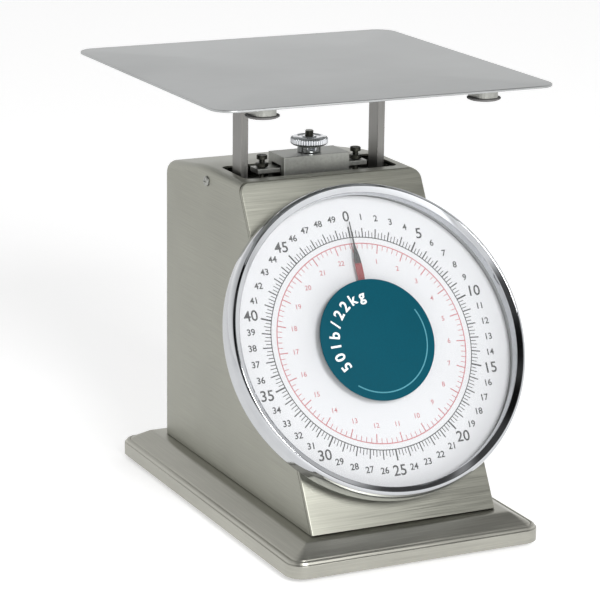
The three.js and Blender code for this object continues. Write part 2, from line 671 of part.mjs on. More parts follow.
// A toothed bar. A space between two teeth faces the pinion's tooth at rest.
function rack() {
  const root = PITCH_R + 1.25 * MODULE;
  const lean = Math.tan(PRESSURE);
  const halfAt = (x) => PITCH / 4 - THINNING + (x - PITCH_R) * lean;
  const crest = PITCH_R - MODULE;
  const points = [[RACK_BACK, PIN_UP + 4], [root, PIN_UP + 4]];
  for (let tooth = 17; tooth >= -6; tooth--) {
    const middle = (tooth + 0.5) * PITCH;
    points.push([root, middle + halfAt(root)], [crest, middle + halfAt(crest)]);
    points.push([crest, middle - halfAt(crest)], [root, middle - halfAt(root)]);
  }
  points.push([root, -13], [RACK_BACK, -13]);
  const body = slab(outline(points.reverse()), [GEAR_DEPTH - RACK_HALF, GEAR_DEPTH + RACK_HALF]);
  return cut(body, bar('x', SHAFT_R + GAP, [0, 20], [PIN_UP, GEAR_DEPTH], 10));
}

// A channel that holds the rack's back edge.
function rackGuide() {
  const jaw = RACK_HALF + GAP;
  const span = [-18, 11];
  const mouth = PITCH_R + 1.25 * MODULE + 1.4;
  const lump = block([mouth, 21], span, [GEAR_DEPTH - jaw - 2.5, GEAR_DEPTH + jaw + 2.5]);
  const channel = block([0, RACK_BACK + GAP], [-30, 30], [GEAR_DEPTH - jaw, GEAR_DEPTH + jaw]);
  return cut(lump, channel);
}

// A folded frame behind the panel: front plate, two side walls and a rear plate.
const FRAME = { x: 27, front: -SHEET - GAP, back: -41, low: -20, high: 13.6 };

function movementFrame() {
  const { x, front, back, low, high } = FRAME;
  const outer = block([-x, x], [low, high], [back, front]);
  const inside = block([PLATE - x, x - PLATE], [low - 5, high + 5], [back + PLATE, front - PLATE]);
  const bushHoles = bar('z', 4 + GAP, [-60, 10], [0, 0], 16);
  return cut(outer, inside, bushHoles, ...caseScrewHoles([-20, 10]));
}

// A flanged bush whose flange lies on the inner side of its plate.
function bush(plateFace, outward) {
  const bore = SHAFT_R + GAP;
  const flange = plateFace - outward * GAP;
  return turn([
    [bore, plateFace + outward * (PLATE + 1)], [4, plateFace + outward * (PLATE + 1)],
    [4, flange], [6, flange], [6, flange - outward * 1.5], [bore, flange - outward * 1.5],
  ], 12);
}

add(dial, 'movement_frame', movementFrame(), ZINC);
add(dial, 'front_bush', bush(FRAME.front - PLATE, 1), BRASS);
add(dial, 'rear_bush', bush(FRAME.back + PLATE, -1), BRASS);
add(dial, 'rack_guide', rackGuide(), NYLON);
add(dial, 'rack', rack(), BRASS);
add(dial, 'pinion', pinion(), BRASS);
add(dial, 'pinion_shaft', bar('z', SHAFT_R, [FRAME.back - 1.5, 12.8], [0, 0], 12), ZINC);
add(dial, 'rack_pin', bar('x', SHAFT_R, [RACK_BACK - 5, 18], [PIN_UP, GEAR_DEPTH], 10), ZINC);

// The carriage's arm, with a level slot for the rack's pin, which drifts forward as it goes down.
function driveArm() {
  const [pinY, pinZ] = slopeToBody(PIN_UP, GEAR_DEPTH);
  const drift = TEETH * PITCH * Math.sin(RAKE);
  const slotHalf = SHAFT_R + GAP;
  const footing = [BEAM_Z[1] + GAP, BEAM_Z[1] + GAP + 2];
  const web = outline([
    [PLATFORM_Y - 6, footing[0]], [PLATFORM_Y + 6, footing[0]], [PLATFORM_Y + 6, pinZ - 8],
    [PLATFORM_Y - 4, pinZ + 5], [pinY - drift - 5, pinZ + 5], [pinY - drift - 5, pinZ - 5], [0, pinZ - 5],
  ]);
  const slot = outline(roundedRect(
    [pinY - drift - slotHalf - 0.4, pinY + slotHalf + 0.4], [pinZ - slotHalf, pinZ + slotHalf], slotHalf - 0.01));
  const arm = join(
    alongX(web, [13, 15]),
    block([13, 23], [PLATFORM_Y - 6, PLATFORM_Y + 6], footing));
  return cut(arm, alongX(slot, [5, 20]));
}

add(scale, 'drive_arm', driveArm(), ZINC);

// ---------------------------------------------------------------- dial
const CASE_INNER = CASE_R - SHEET;
const DIAL_SHEET = 1;
const LENS_SHEET = 1.8;
const DISC_SHEET = 0.7;

function dialCase() {
  const [hole, lip, seat] = [12, 17.5, DIAL_FACE - DIAL_SHEET - GAP];
  const profile = [
    [hole, GAP], [CASE_R - 1.5, GAP], [CASE_R, GAP + 1.5], [CASE_R, lip], [CASE_INNER, lip],
    [CASE_INNER, seat], [CASE_R - 6, seat], [CASE_R - 6, GAP + SHEET], [hole, GAP + SHEET],
  ];
  return cut(turn(profile, ROUND), ...caseScrewHoles([-5, 5]));
}

function bezel() {
  const wallR = CASE_R + GAP;
  return turn([
    [wallR, 8], [BEZEL_R - 0.5, 9], [BEZEL_R, 11], [BEZEL_R, 18.6], [BEZEL_R - 1.3, 21.9],
    [BEZEL_R - 3.4, BEZEL_FRONT], [93.9, 21.4], [92, 15.6], [94.2, 15.6], [94.6, 17.9], [wallR, 17.9],
  ], ROUND);
}

function disc(radius, [z0, z1], bore, sideCount) {
  return turn([[bore, z0], [radius, z0], [radius, z1], [bore, z1]], sideCount);
}

function pointerHand() {
  const shape = outline([
    [-3.4, -24], [3.4, -24], [2.4, -8], [5.4, 0], [2.6, 10], [2, 50], [1.6, 56], [0.5, 61], [0.3, 77],
    [-0.3, 77], [-0.5, 61], [-1.6, 56], [-2, 50], [-2.6, 10], [-5.4, 0], [-2.4, -8],
  ]);
  return cut(slab(shape, [11.2, 11.8]), bar('z', 3.5, [5, 15], [0, 0], 16));
}

function pointerHub() {
  const bore = SHAFT_R + GAP;
  return turn([[bore, 9.4], [6, 9.4], [6, 10.9], [3.2, 10.9], [3.2, 12.8], [bore, 12.8]], 16);
}

add(dial, 'dial_case', dialCase(), ZINC);
add(dial, 'dial_plate', disc(CASE_INNER - GAP, [DIAL_FACE - DIAL_SHEET, DIAL_FACE], 6.5, ROUND), WHITE_ENAMEL);
add(dial, 'bezel', bezel(), CHROME);
const lensFront = LENS_BACK + LENS_SHEET;
add(dial, 'lens', bar('z', CASE_INNER - GAP, [LENS_BACK, lensFront], [0, 0], ROUND), CLEAR);
add(dial, 'centre_disc', bar('z', DISC_R, [lensFront + GAP, lensFront + GAP + DISC_SHEET], [0, 0], 40), TEAL_LABEL);
add(dial, 'pointer_hand', pointerHand(), RED_PAINT);
add(dial, 'pointer_hub', pointerHub(), BRASS);
caseScrews.forEach(([x, y], i) => {
  const fixing = add(dial, `case_screw_${i + 1}`, screw(SMALL_SCREW_R, 3.6, 2.2, 7.4), ZINC);
  fixing.position.set(x, y, GAP + SHEET + GAP);
});

export default scale;
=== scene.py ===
"""The looks of a mechanical dial platform scale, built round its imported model.

Every shape is a surface worked out with numpy in the model's own frame: metres, +Z up, the dial
facing -Y. Lengths written with MM are in millimetres.
"""

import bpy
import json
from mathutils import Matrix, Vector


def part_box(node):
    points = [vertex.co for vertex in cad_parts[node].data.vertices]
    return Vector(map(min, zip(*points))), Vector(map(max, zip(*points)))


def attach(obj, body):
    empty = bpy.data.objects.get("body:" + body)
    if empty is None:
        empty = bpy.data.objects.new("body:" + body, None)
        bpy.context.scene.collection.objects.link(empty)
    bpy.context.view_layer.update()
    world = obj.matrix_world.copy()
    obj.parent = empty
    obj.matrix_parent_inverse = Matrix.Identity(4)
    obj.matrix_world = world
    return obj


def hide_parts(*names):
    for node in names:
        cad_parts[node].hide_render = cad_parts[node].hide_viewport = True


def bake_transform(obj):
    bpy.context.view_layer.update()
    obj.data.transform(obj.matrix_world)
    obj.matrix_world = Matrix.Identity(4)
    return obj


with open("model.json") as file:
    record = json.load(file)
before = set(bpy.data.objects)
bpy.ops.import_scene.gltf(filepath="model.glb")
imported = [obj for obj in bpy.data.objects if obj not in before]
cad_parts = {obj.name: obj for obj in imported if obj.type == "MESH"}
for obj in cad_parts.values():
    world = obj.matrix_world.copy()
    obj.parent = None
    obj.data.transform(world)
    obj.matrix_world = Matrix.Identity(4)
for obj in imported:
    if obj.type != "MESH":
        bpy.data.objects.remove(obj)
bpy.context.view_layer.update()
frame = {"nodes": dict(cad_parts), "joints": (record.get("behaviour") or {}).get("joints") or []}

import json
import math

import bmesh
import bpy
import numpy as np
from bpy.props import FloatProperty, FloatVectorProperty, IntProperty, PointerProperty
from bpy.types import Operator, Panel, PropertyGroup
from mathutils import Matrix, Vector

bl_info = {
    "name": "Dial platform scale",
    "version": (1, 0, 0),
    "blender": (4, 5, 0),
    "location": "View3D > Sidebar > Scale",
    "description": "Builds the visible pieces of a mechanical dial platform scale",
    "category": "Object",
}

MM = 0.001
X_AXIS = np.array([1.0, 0.0, 0.0])
Y_AXIS = np.array([0.0, 1.0, 0.0])
Z_AXIS = np.array([0.0, 0.0, 1.0])
JOINTS = {joint["name"]: joint for joint in frame["joints"]}


# ---------------------------------------------------------------- places taken from the model
class Place:
    """An origin and three directions: across, up and out."""

    def __init__(self, origin, across, up, out):
        self.origin = np.asarray(origin, float)
        self.across, self.up, self.out = across, up, out

    def at(self, across, up, out):
        """origin + across * a + up * b + out * c, for numbers or whole arrays."""
        parts = (np.asarray(across)[..., None] * self.across, np.asarray(up)[..., None] * self.up,
                 np.asarray(out)[..., None] * self.out)
        return self.origin + parts[0] + parts[1] + parts[2]


def dial_place():
    """The dial's own directions, from the pointer's joint: out is towards the reader."""
    spin = JOINTS["pointer_spin"]
    out = -np.array(spin["axis"], float)
    out /= np.linalg.norm(out)
    return Place(spin["pos_m"], X_AXIS, np.cross(out, X_AXIS), out)


DIAL = dial_place()


def upright(x, y):
    """A place on the floor whose out is straight up."""
    return Place((x, y, 0), X_AXIS, Y_AXIS, Z_AXIS)


def standing(node):
    """(upright place in the middle of a node's box, its lowest z, its highest z, half its width)."""
    low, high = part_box(node)
    centre = (low + high) / 2
    return upright(centre.x, centre.y), low.z, high.z, (high.x - low.x) / 2


def dial_reach(node):
    """(lowest out, highest out, largest radius) of a node, measured from the dial's axis."""
    points = np.array([v.co for v in frame["nodes"][node].data.vertices]) - DIAL.origin
    out = points @ DIAL.out
    radius = np.hypot(points @ DIAL.across, points @ DIAL.up)
    return out.min(), out.max(), radius.max()


def linear(hex_code):
    """An sRGB hex colour as linear RGBA: c / 12.92 up to 0.04045, then ((c + 0.055) / 1.055) ** 2.4."""
    channels = [int(hex_code[i:i + 2], 16) / 255 for i in (1, 3, 5)]
    return tuple(c / 12.92 if c <= 0.04045 else ((c + 0.055) / 1.055) ** 2.4 for c in channels) + (1.0,)


# ---------------------------------------------------------------- what a user may change
def length(name, description, default_mm):
    return FloatProperty(name=name, description=description, default=default_mm * MM, min=0.0,
                         precision=5, unit="LENGTH")


def colour(name, description, hex_code):
    return FloatVectorProperty(name=name, description=description, default=linear(hex_code), size=4,
                               min=0.0, max=1.0, subtype="COLOR")


class ScaleSizes(PropertyGroup):
    sheet: length("Sheet thickness", "Thickness of the body's sheet", 1.2)
    side_bend: length("Side bend", "Radius of the bend between the top and the sides", 6.0)
    rear_bend: length("Rear bend", "Radius of the bend at the top of the back", 9.0)
    lip_corner: length("Lip corner", "Radius of the pan's corners in plan", 10.0)
    platform_corner: length("Platform corner", "Radius of the platform's corners in plan", 13.0)
    print_height: length("Print height", "Thickness of the dial's printed marks", 0.05)
    numeral: length("Large numeral", "Height of the numbers at every fifth pound", 6.9)
    small_numeral: length("Small numeral", "Height of the numbers at the other pounds", 4.1)
    wire: length("Spring wire", "Diameter of the springs' wire", 2.3)
    coils: IntProperty(name="Coils", description="Turns in each spring", default=21, min=4)
    flutes: IntProperty(name="Flutes", description="Ribs round the zero knob", default=44, min=8)


class ScaleColours(PropertyGroup):
    shell: colour("Shell steel", "Body sides, top and back", "#9C9C92")
    panel: colour("Panel steel", "Leaning front sheet", "#A0A096")
    pan: colour("Pan steel", "Base pan", "#AEADA4")
    platform: colour("Platform steel", "Square platform", "#B0B2B2")
    posts: colour("Post steel", "Flat posts under the platform", "#868582")
    rubber: colour("Rubber", "Feet and pads", "#6A6968")
    enamel: colour("Dial enamel", "White face of the dial", "#DFE0E3")
    ink: colour("Black ink", "Pound marks and numbers", "#2A2A2C")
    red_ink: colour("Red ink", "Kilogram marks and numbers", "#C07479")
    label: colour("Disc", "Disc in the middle of the lens", "#004C5C")
    pointer: colour("Pointer red", "Broad part of the pointer", "#850C16")


def sizes():
    return bpy.context.scene.scale_sizes


def colours():
    return bpy.context.scene.scale_colours


# ---------------------------------------------------------------- surfaces
def rounded(points, radii, steps=7, closed=True):
    """A polyline with soft corners: corner p becomes the parabola (1-t)^2 a + 2t(1-t) p + t^2 b,
    where a and b lie one radius away from p on its two sides, or 45% of a side where it is short."""
    p = np.asarray(points, float)
    before, after = np.roll(p, 1, 0) - p, np.roll(p, -1, 0) - p
    before_len = np.linalg.norm(before, axis=1)
    after_len = np.linalg.norm(after, axis=1)
    reach = np.minimum(radii, 0.45 * np.minimum(before_len, after_len))
    if not closed:
        reach = reach * np.r_[0, np.ones(len(p) - 2), 0]
    a = p + before / before_len[:, None] * reach[:, None]
    b = p + after / after_len[:, None] * reach[:, None]
    t = np.linspace(0, 1, steps)[None, :, None]
    curve = (1 - t) ** 2 * a[:, None] + 2 * t * (1 - t) * p[:, None] + t ** 2 * b[:, None]
    return curve.reshape(-1, p.shape[1])


def rounded_rectangle(x_low, x_high, y_low, y_high, radius):
    """Rings of a rectangle with quarter-circle corners; every argument may be an array of rings."""
    x_low, x_high, y_low, y_high, radius = np.broadcast_arrays(x_low, x_high, y_low, y_high, radius)
    angle = (np.arange(4)[:, None] + np.linspace(0, 1, 10)[None, :]) * math.pi / 2
    right = np.array([1, 0, 0, 1])[:, None]
    top = np.array([1, 1, 0, 0])[:, None]
    r = radius[..., None, None]
    x = np.where(right, x_high[..., None, None] - r, x_low[..., None, None] + r) + r * np.cos(angle)
    y = np.where(top, y_high[..., None, None] - r, y_low[..., None, None] + r) + r * np.sin(angle)
    return np.stack([x, y], -1).reshape(*radius.shape, -1, 2)


def swept(path, radius, flat_normal):
    """A round wire: path + radius (cos a n + sin a (tangent x n)), where n is flat_normal made
    square to the tangent."""
    tangent = np.gradient(path, axis=0)
    tangent /= np.linalg.norm(tangent, axis=1, keepdims=True)
    normal = flat_normal - (tangent @ flat_normal)[:, None] * tangent
    normal /= np.linalg.norm(normal, axis=1, keepdims=True)
    side = np.cross(tangent, normal)
    angle = np.linspace(0, 2 * math.pi, 10, endpoint=False)[None, :, None]
    return path[:, None] + radius * (np.cos(angle) * normal[:, None] + np.sin(angle) * side[:, None])


def mesh_of_grid(name, grid, wrap_u=False, wrap_v=False, caps=False, uv=None):
    """Quads between neighbouring points of a grid. wrap joins the last row or column to the first,
    and caps closes the first and last row with one face each."""
    rows, columns = grid.shape[:2]
    row = np.arange(rows if wrap_u else rows - 1)[:, None]
    column = np.arange(columns if wrap_v else columns - 1)[None, :]
    next_row, next_column = (row + 1) % rows, (column + 1) % columns
    quads = np.stack([row * columns + column, row * columns + next_column,
                      next_row * columns + next_column, next_row * columns + column], -1)
    faces = quads.reshape(-1, 4).tolist()
    if caps:
        faces.append(list(range(columns))[::-1])
        faces.append(list(range((rows - 1) * columns, rows * columns)))
    mesh = bpy.data.meshes.new(name)
    mesh.from_pydata(grid.reshape(-1, 3).tolist(), [], faces)
    if uv is not None:
        layer = mesh.uv_layers.new(name="grain")
        corners = np.zeros(len(mesh.loops), int)
        mesh.loops.foreach_get("vertex_index", corners)
        layer.data.foreach_set("uv", uv.reshape(-1, 2)[corners].ravel())
    return mesh


def tidy(mesh):
    """Merges doubled points, turns the faces outwards and smooths all but the sharp edges."""
    work = bmesh.new()
    work.from_mesh(mesh)
    bmesh.ops.remove_doubles(work, verts=work.verts, dist=1e-7)
    bmesh.ops.dissolve_degenerate(work, edges=work.edges, dist=1e-8)
    bmesh.ops.recalc_face_normals(work, faces=work.faces)
    work.to_mesh(mesh)
    work.free()
    mesh.polygons.foreach_set("use_smooth", np.ones(len(mesh.polygons), bool))
    mesh.set_sharp_from_angle(angle=math.radians(35))
    return mesh


def show(name, mesh, kind, body, slot, *replaced):
    """Adds a piece: its mesh, its finish, its body and the model nodes it stands for. The slot argument is
    not used.
    """
    piece = bpy.data.objects.new(name, tidy(mesh))
    bpy.context.scene.collection.objects.link(piece)
    piece.data.materials.append(finish(kind))
    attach(piece, body)
    if replaced:
        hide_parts(*replaced)
    return piece


def joined(name, meshes):
    """One mesh out of several."""
    work = bmesh.new()
    for mesh in meshes:
        work.from_mesh(mesh)
        bpy.data.meshes.remove(mesh)
    whole = bpy.data.meshes.new(name)
    work.to_mesh(whole)
    work.free()
    return whole


def solid_of_turning(name, place, profile, segments, ripple=None):
    """The surface origin + r (cos a across + sin a up) + h out. Its profile of (r, h) pairs is closed, or
    starts and ends on the axis. ripple(r, a) returns changed radii, where the surface isn't round."""
    profile = np.asarray(profile, float)
    on_axis = profile[0, 0] == 0 and profile[-1, 0] == 0
    r, h = profile[:, :1], profile[:, 1:]
    angle = np.linspace(0, 2 * math.pi, segments, endpoint=False)
    if ripple is not None:
        r = ripple(r, angle)
    grid = place.at(r * np.cos(angle), r * np.sin(angle), h)
    return mesh_of_grid(name, grid, wrap_u=not on_axis, wrap_v=True)


def cut_by(mesh, cutters):
    """The mesh with each cutter mesh taken out of it."""
    body = bpy.data.objects.new("cutting", tidy(mesh))
    bpy.context.scene.collection.objects.link(body)
    helpers = []
    for cutter in cutters:
        helper = bpy.data.objects.new("cutter", tidy(cutter))
        bpy.context.scene.collection.objects.link(helper)
        modifier = body.modifiers.new("cut", "BOOLEAN")
        modifier.object = helper
        modifier.operation = "DIFFERENCE"
        modifier.solver = "EXACT"
        helpers.append(helper)
    bpy.context.view_layer.update()
    result = bpy.data.meshes.new_from_object(body.evaluated_get(bpy.context.evaluated_depsgraph_get()))
    for thing in [body, *helpers]:
        bpy.data.objects.remove(thing)
    return result


# ---------------------------------------------------------------- materials
def add_node(tree, kind, settings=None, **inputs):
    """Adds a node, sets its properties and fills its inputs with values or links. An input is given by
    its name, with _ for a space, or by its place as in_0, in_1."""
    made = tree.nodes.new(kind)
    for key, value in (settings or {}).items():
        setattr(made, key, value)
    for key, value in inputs.items():
        place = int(key[3:]) if key.startswith("in_") else key.replace("_", " ")
        socket = made.inputs[place]
        if isinstance(value, bpy.types.NodeSocket):
            tree.links.new(value, socket)
        else:
            socket.default_value = value
    return made


NOISE_SPAN = {"From_Min": 0.3, "From_Max": 0.7}     # nearly all of a noise lies between these


def shaded(base, factor):
    """A colour made lighter or darker."""
    return tuple(min(1.0, c * factor) for c in base[:3]) + (1.0,)


def worked_surface(name, base, metallic, roughness, grain, patch, tones, gloss, height, source="Object",
                   **sockets):
    """A Principled material driven by two noises. The fine one has cells of grain (one or three lengths) and
    moves the tone between tones, the roughness by +-gloss, and the surface by height. The broad one has
    cells of patch and darkens the colour by up to a tenth, as handling and storage do."""
    material = bpy.data.materials.new(name)
    material.use_nodes = True
    tree = material.node_tree
    shader = next(n for n in tree.nodes if n.type == "BSDF_PRINCIPLED")
    for key, value in sockets.items():
        shader.inputs[key.replace("_", " ")].default_value = value
    shader.inputs["Metallic"].default_value = metallic
    place = add_node(tree, "ShaderNodeTexCoord").outputs[source]
    drawn = add_node(tree, "ShaderNodeMapping", Vector=place, Scale=1 / np.broadcast_to(grain, 3))
    fine = add_node(tree, "ShaderNodeTexNoise", Vector=drawn.outputs["Vector"], Scale=1.0, Detail=3.0,
                    Roughness=0.6).outputs["Fac"]
    broad = add_node(tree, "ShaderNodeTexNoise", Vector=place, Scale=1 / patch, Detail=3.0).outputs["Fac"]
    share = add_node(tree, "ShaderNodeMapRange", Value=fine, **NOISE_SPAN).outputs["Result"]
    tone = add_node(tree, "ShaderNodeMix", {"data_type": "RGBA"}, in_0=share, in_6=shaded(base, tones[0]),
                    in_7=shaded(base, tones[1]))
    wear = add_node(tree, "ShaderNodeMapRange", Value=broad, To_Min=0.9, **NOISE_SPAN)
    colour_out = add_node(tree, "ShaderNodeMix", {"data_type": "RGBA", "blend_type": "MULTIPLY"}, in_0=1.0,
                          in_6=tone.outputs[2], in_7=wear.outputs["Result"])
    sheen = add_node(tree, "ShaderNodeMapRange", Value=fine, To_Min=roughness - gloss,
                     To_Max=roughness + gloss, **NOISE_SPAN)
    relief = add_node(tree, "ShaderNodeBump", Height=fine, Strength=0.2, Distance=height)
    tree.links.new(colour_out.outputs[2], shader.inputs["Base Color"])
    tree.links.new(sheen.outputs["Result"], shader.inputs["Roughness"])
    tree.links.new(relief.outputs["Normal"], shader.inputs["Normal"])
    return material


GRIT = 0.5 * MM        # real belt scratches are about 0.1 mm apart; drawn this coarse so that they show
SCRATCH = 45 * MM      # how far one scratch runs


def brushed_stainless(piece, base, run, roughness, source="Object"):
    """Type 304 sheet drawn under a grit belt. Fine straight scratches along run (0, 1 or 2) spread each
    highlight across them, and the sheen is a little uneven."""
    grain = [GRIT] * 3
    grain[run] = SCRATCH
    return worked_surface(f"brushed_stainless_{piece}", base, metallic=1.0, roughness=roughness,
                          grain=grain, patch=70 * MM, tones=(0.84, 1.1), gloss=0.07, height=0.02 * MM,
                          source=source)


def chrome_plate():
    """Decorative chrome on a polished spinning: a near mirror with a faint orange peel and haze."""
    return worked_surface("bright_chrome_plate", linear("#C4C6C9"), metallic=1.0, roughness=0.09,
                          grain=6 * MM, patch=30 * MM, tones=(0.96, 1.0), gloss=0.03, height=0.02 * MM)


def zinc_plate():
    """Bright zinc on mild steel: bluish silver with a fine cloudy crystal."""
    return worked_surface("bright_zinc_plate", linear("#A3A49F"), metallic=1.0, roughness=0.4,
                          grain=1.6 * MM, patch=16 * MM, tones=(0.9, 1.08), gloss=0.03, height=0.008 * MM)


def blackened_steel():
    """Chemically blackened steel screws: near black, oily, with rubbed spots."""
    return worked_surface("blackened_steel", linear("#45453F"), metallic=1.0, roughness=0.42,
                          grain=1.6 * MM, patch=9 * MM, tones=(0.7, 1.3), gloss=0.1, height=0.03 * MM)


def spring_wire():
    """Hard drawn carbon steel wire: grey, with short die marks and a film of oil."""
    return worked_surface("hard_drawn_spring_wire", linear("#85888A"), metallic=1.0, roughness=0.3,
                          grain=0.8 * MM, patch=20 * MM, tones=(0.8, 1.15), gloss=0.08, height=0.02 * MM)


def turned_brass():
    """Free-cutting brass off a lathe: warm yellow with a light tarnish."""
    return worked_surface("turned_brass", linear("#C9A45C"), metallic=1.0, roughness=0.3, grain=0.7 * MM,
                          patch=8 * MM, tones=(0.78, 1.05), gloss=0.1, height=0.02 * MM)


def moulded_rubber():
    """Grey filled rubber from a spark-eroded mould: matt, with an even fine grain and a dusty bloom."""
    return worked_surface("moulded_grey_rubber", colours().rubber[:], metallic=0.0, roughness=0.8,
                          grain=0.7 * MM, patch=11 * MM, tones=(0.8, 1.25), gloss=0.1, height=0.06 * MM,
                          IOR=1.52)


def natural_nylon():
    """Unfilled nylon 6: milky, cream and slightly waxy."""
    return worked_surface("natural_nylon", linear("#E7E2D3"), metallic=0.0, roughness=0.48, grain=2 * MM,
                          patch=12 * MM, tones=(0.94, 1.0), gloss=0.06, height=0.04 * MM, IOR=1.53)


def dial_enamel():
    """Stoved white enamel on sheet: even, with a slight orange peel in its gloss."""
    return worked_surface("stoved_white_enamel", colours().enamel[:], metallic=0.0, roughness=0.45,
                          grain=2.4 * MM, patch=500 * MM, tones=(0.99, 1.0), gloss=0.05, height=0.02 * MM,
                          IOR=1.5)


def screen_ink(name, base):
    """Screen-printed ink: a thin matt film whose density varies slightly."""
    return worked_surface(name, base, metallic=0.0, roughness=0.55, grain=0.9 * MM, patch=30 * MM,
                          tones=(0.9, 1.1), gloss=0.05, height=0.01 * MM, IOR=1.5, Specular_IOR_Level=0.2)


def label_vinyl():
    """Printed vinyl with a matt overlay: a deep flat teal with almost no shine."""
    return worked_surface("matt_teal_vinyl", colours().label[:], metallic=0.0, roughness=0.6,
                          grain=1.2 * MM, patch=40 * MM, tones=(0.94, 1.05), gloss=0.05, height=0.02 * MM,
                          IOR=1.5, Specular_IOR_Level=0.1)


def hand_paint(name, base):
    """Sprayed lacquer on a thin aluminium hand: smooth and nearly matt."""
    return worked_surface(name, base, metallic=0.0, roughness=0.5, grain=1.5 * MM, patch=20 * MM,
                          tones=(0.93, 1.07), gloss=0.05, height=0.01 * MM, IOR=1.5,
                          Specular_IOR_Level=0.15)


def clear_lens():
    """Cast acrylic sheet: water clear, so all but a thin veil is let through, with faint wiping marks."""
    return worked_surface("clear_acrylic_lens", linear("#F4F6F6"), metallic=0.0, roughness=0.04,
                          grain=[30 * MM, 8 * MM, 8 * MM], patch=60 * MM, tones=(0.98, 1.0), gloss=0.02,
                          height=0.001 * MM, IOR=1.49, Alpha=0.07)


FINISHES = {
    "shell": lambda: brushed_stainless("shell", colours().shell[:], 1, 0.42),
    "panel": lambda: brushed_stainless("panel", colours().panel[:], 0, 0.42),
    "pan": lambda: brushed_stainless("pan", colours().pan[:], 0, 0.4, "UV"),
    "platform": lambda: brushed_stainless("platform", colours().platform[:], 0, 0.4),
    "posts": lambda: brushed_stainless("posts", colours().posts[:], 2, 0.36),
    "chrome": chrome_plate,
    "zinc": zinc_plate,
    "black": blackened_steel,
    "wire": spring_wire,
    "brass": turned_brass,
    "rubber": moulded_rubber,
    "nylon": natural_nylon,
    "enamel": dial_enamel,
    "ink": lambda: screen_ink("black_dial_ink", colours().ink[:]),
    "red_ink": lambda: screen_ink("red_dial_ink", colours().red_ink[:]),
    "label": label_vinyl,
    "label_ink": lambda: screen_ink("white_label_ink", linear("#F4FAFB")),
    "fine_line": lambda: screen_ink("pale_label_ink", linear("#4F93A2")),
    "pointer": lambda: hand_paint("red_pointer_lacquer", colours().pointer[:]),
    "pointer_black": lambda: hand_paint("black_pointer_lacquer", linear("#17171A")),
    "lens": clear_lens,
}
made_finishes = {}


def finish(kind):
    """The named finish, made once."""
    if kind not in made_finishes:
        made_finishes[kind] = FINISHES[kind]()
    return made_finishes[kind]


# ---------------------------------------------------------------- pan and body
LEDGE_MARGIN = 6.5 * MM     # flat ledge left round the body
PAN_DROP = 9.2 * MM         # how far the pan's slope falls from the ledge to the lip
SOFT_REACH = 20 * MM        # length given to t = 0 to 1 while the section's corners are softened
GRAIN_REACH = 16 * MM       # length given to it in the grain's coordinates: the slope's width at a side


def pan_mesh():
    """Rings from the middle of the top, over the ledge, down the slope and the lip, and back inside.
    Ring t lies between the ledge's outline (t = 0) and the rim's (t = 1)."""
    low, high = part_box("base_pan")
    body_low, body_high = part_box("body_shell")
    panel_low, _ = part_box("front_panel")
    gauge = 1.4 * MM
    ledge = (body_low.x - LEDGE_MARGIN, body_high.x + LEDGE_MARGIN, panel_low.y - LEDGE_MARGIN,
             body_high.y + 1.2 * LEDGE_MARGIN)
    rim = (low.x, high.x, low.y, high.y)
    top, drop = high.z, PAN_DROP
    # (t, height) down the outside: ledge, slope, a pressed bead with a groove each side, lip
    outside = np.array([
        (-0.45, top), (0.0, top), (0.72, top - 0.72 * drop), (0.765, top - 0.85 * drop),
        (0.80, top - 0.74 * drop), (0.90, top - 0.80 * drop), (0.945, top - 0.99 * drop),
        (1.0, top - 1.0 * drop), (1.0, low.z)])
    softness = np.array([0, 2.0, 1.0, 0.5, 0.7, 0.8, 0.6, 1.2, 0]) * MM
    stations = rounded(outside * (SOFT_REACH, 1), softness, 5, False)
    t, height = stations[:, 0] / SOFT_REACH, stations[:, 1]
    inside_t, inside_height = t[::-1], np.maximum(height[::-1] - gauge, low.z)
    all_t = np.r_[t, inside_t]
    inset = np.r_[np.zeros(len(t)), np.full(len(t), gauge)]
    heights = np.r_[height, inside_height]
    corner = np.clip(1.2 * MM + sizes().lip_corner * np.clip(all_t, 0, 1) ** 2 - inset, 0.4 * MM, None)
    edges = [a + (b - a) * all_t for a, b in zip(ledge, rim)]
    plan = rounded_rectangle(edges[0] + inset, edges[1] - inset, edges[2] + inset, edges[3] - inset, corner)
    grid = upright(0, 0).at(plan[..., 0], plan[..., 1], heights[:, None])
    round_length = np.cumsum(np.linalg.norm(np.diff(grid, axis=1, prepend=grid[:, :1]), axis=2), 1)
    section = np.cumsum(np.r_[0, np.hypot(np.diff(all_t) * GRAIN_REACH, np.diff(heights))])
    uv = np.stack(np.broadcast_arrays(round_length, section[:, None]), -1)
    return mesh_of_grid("base_pan_sheet", grid, wrap_v=True, caps=True, uv=uv)


SLOPE_START = 53 * MM       # how far back the top starts to fall
REAR_DROP = 8.2 * MM        # how far the sloping part of the top falls by the back
OPENING = (-53.5 * MM, 53.5 * MM, 2 * MM, 42 * MM)      # in the top: across, then front to back
WINDOW = (-42 * MM, 42 * MM, 58 * MM, 166 * MM)         # behind the rear cover: across, then up


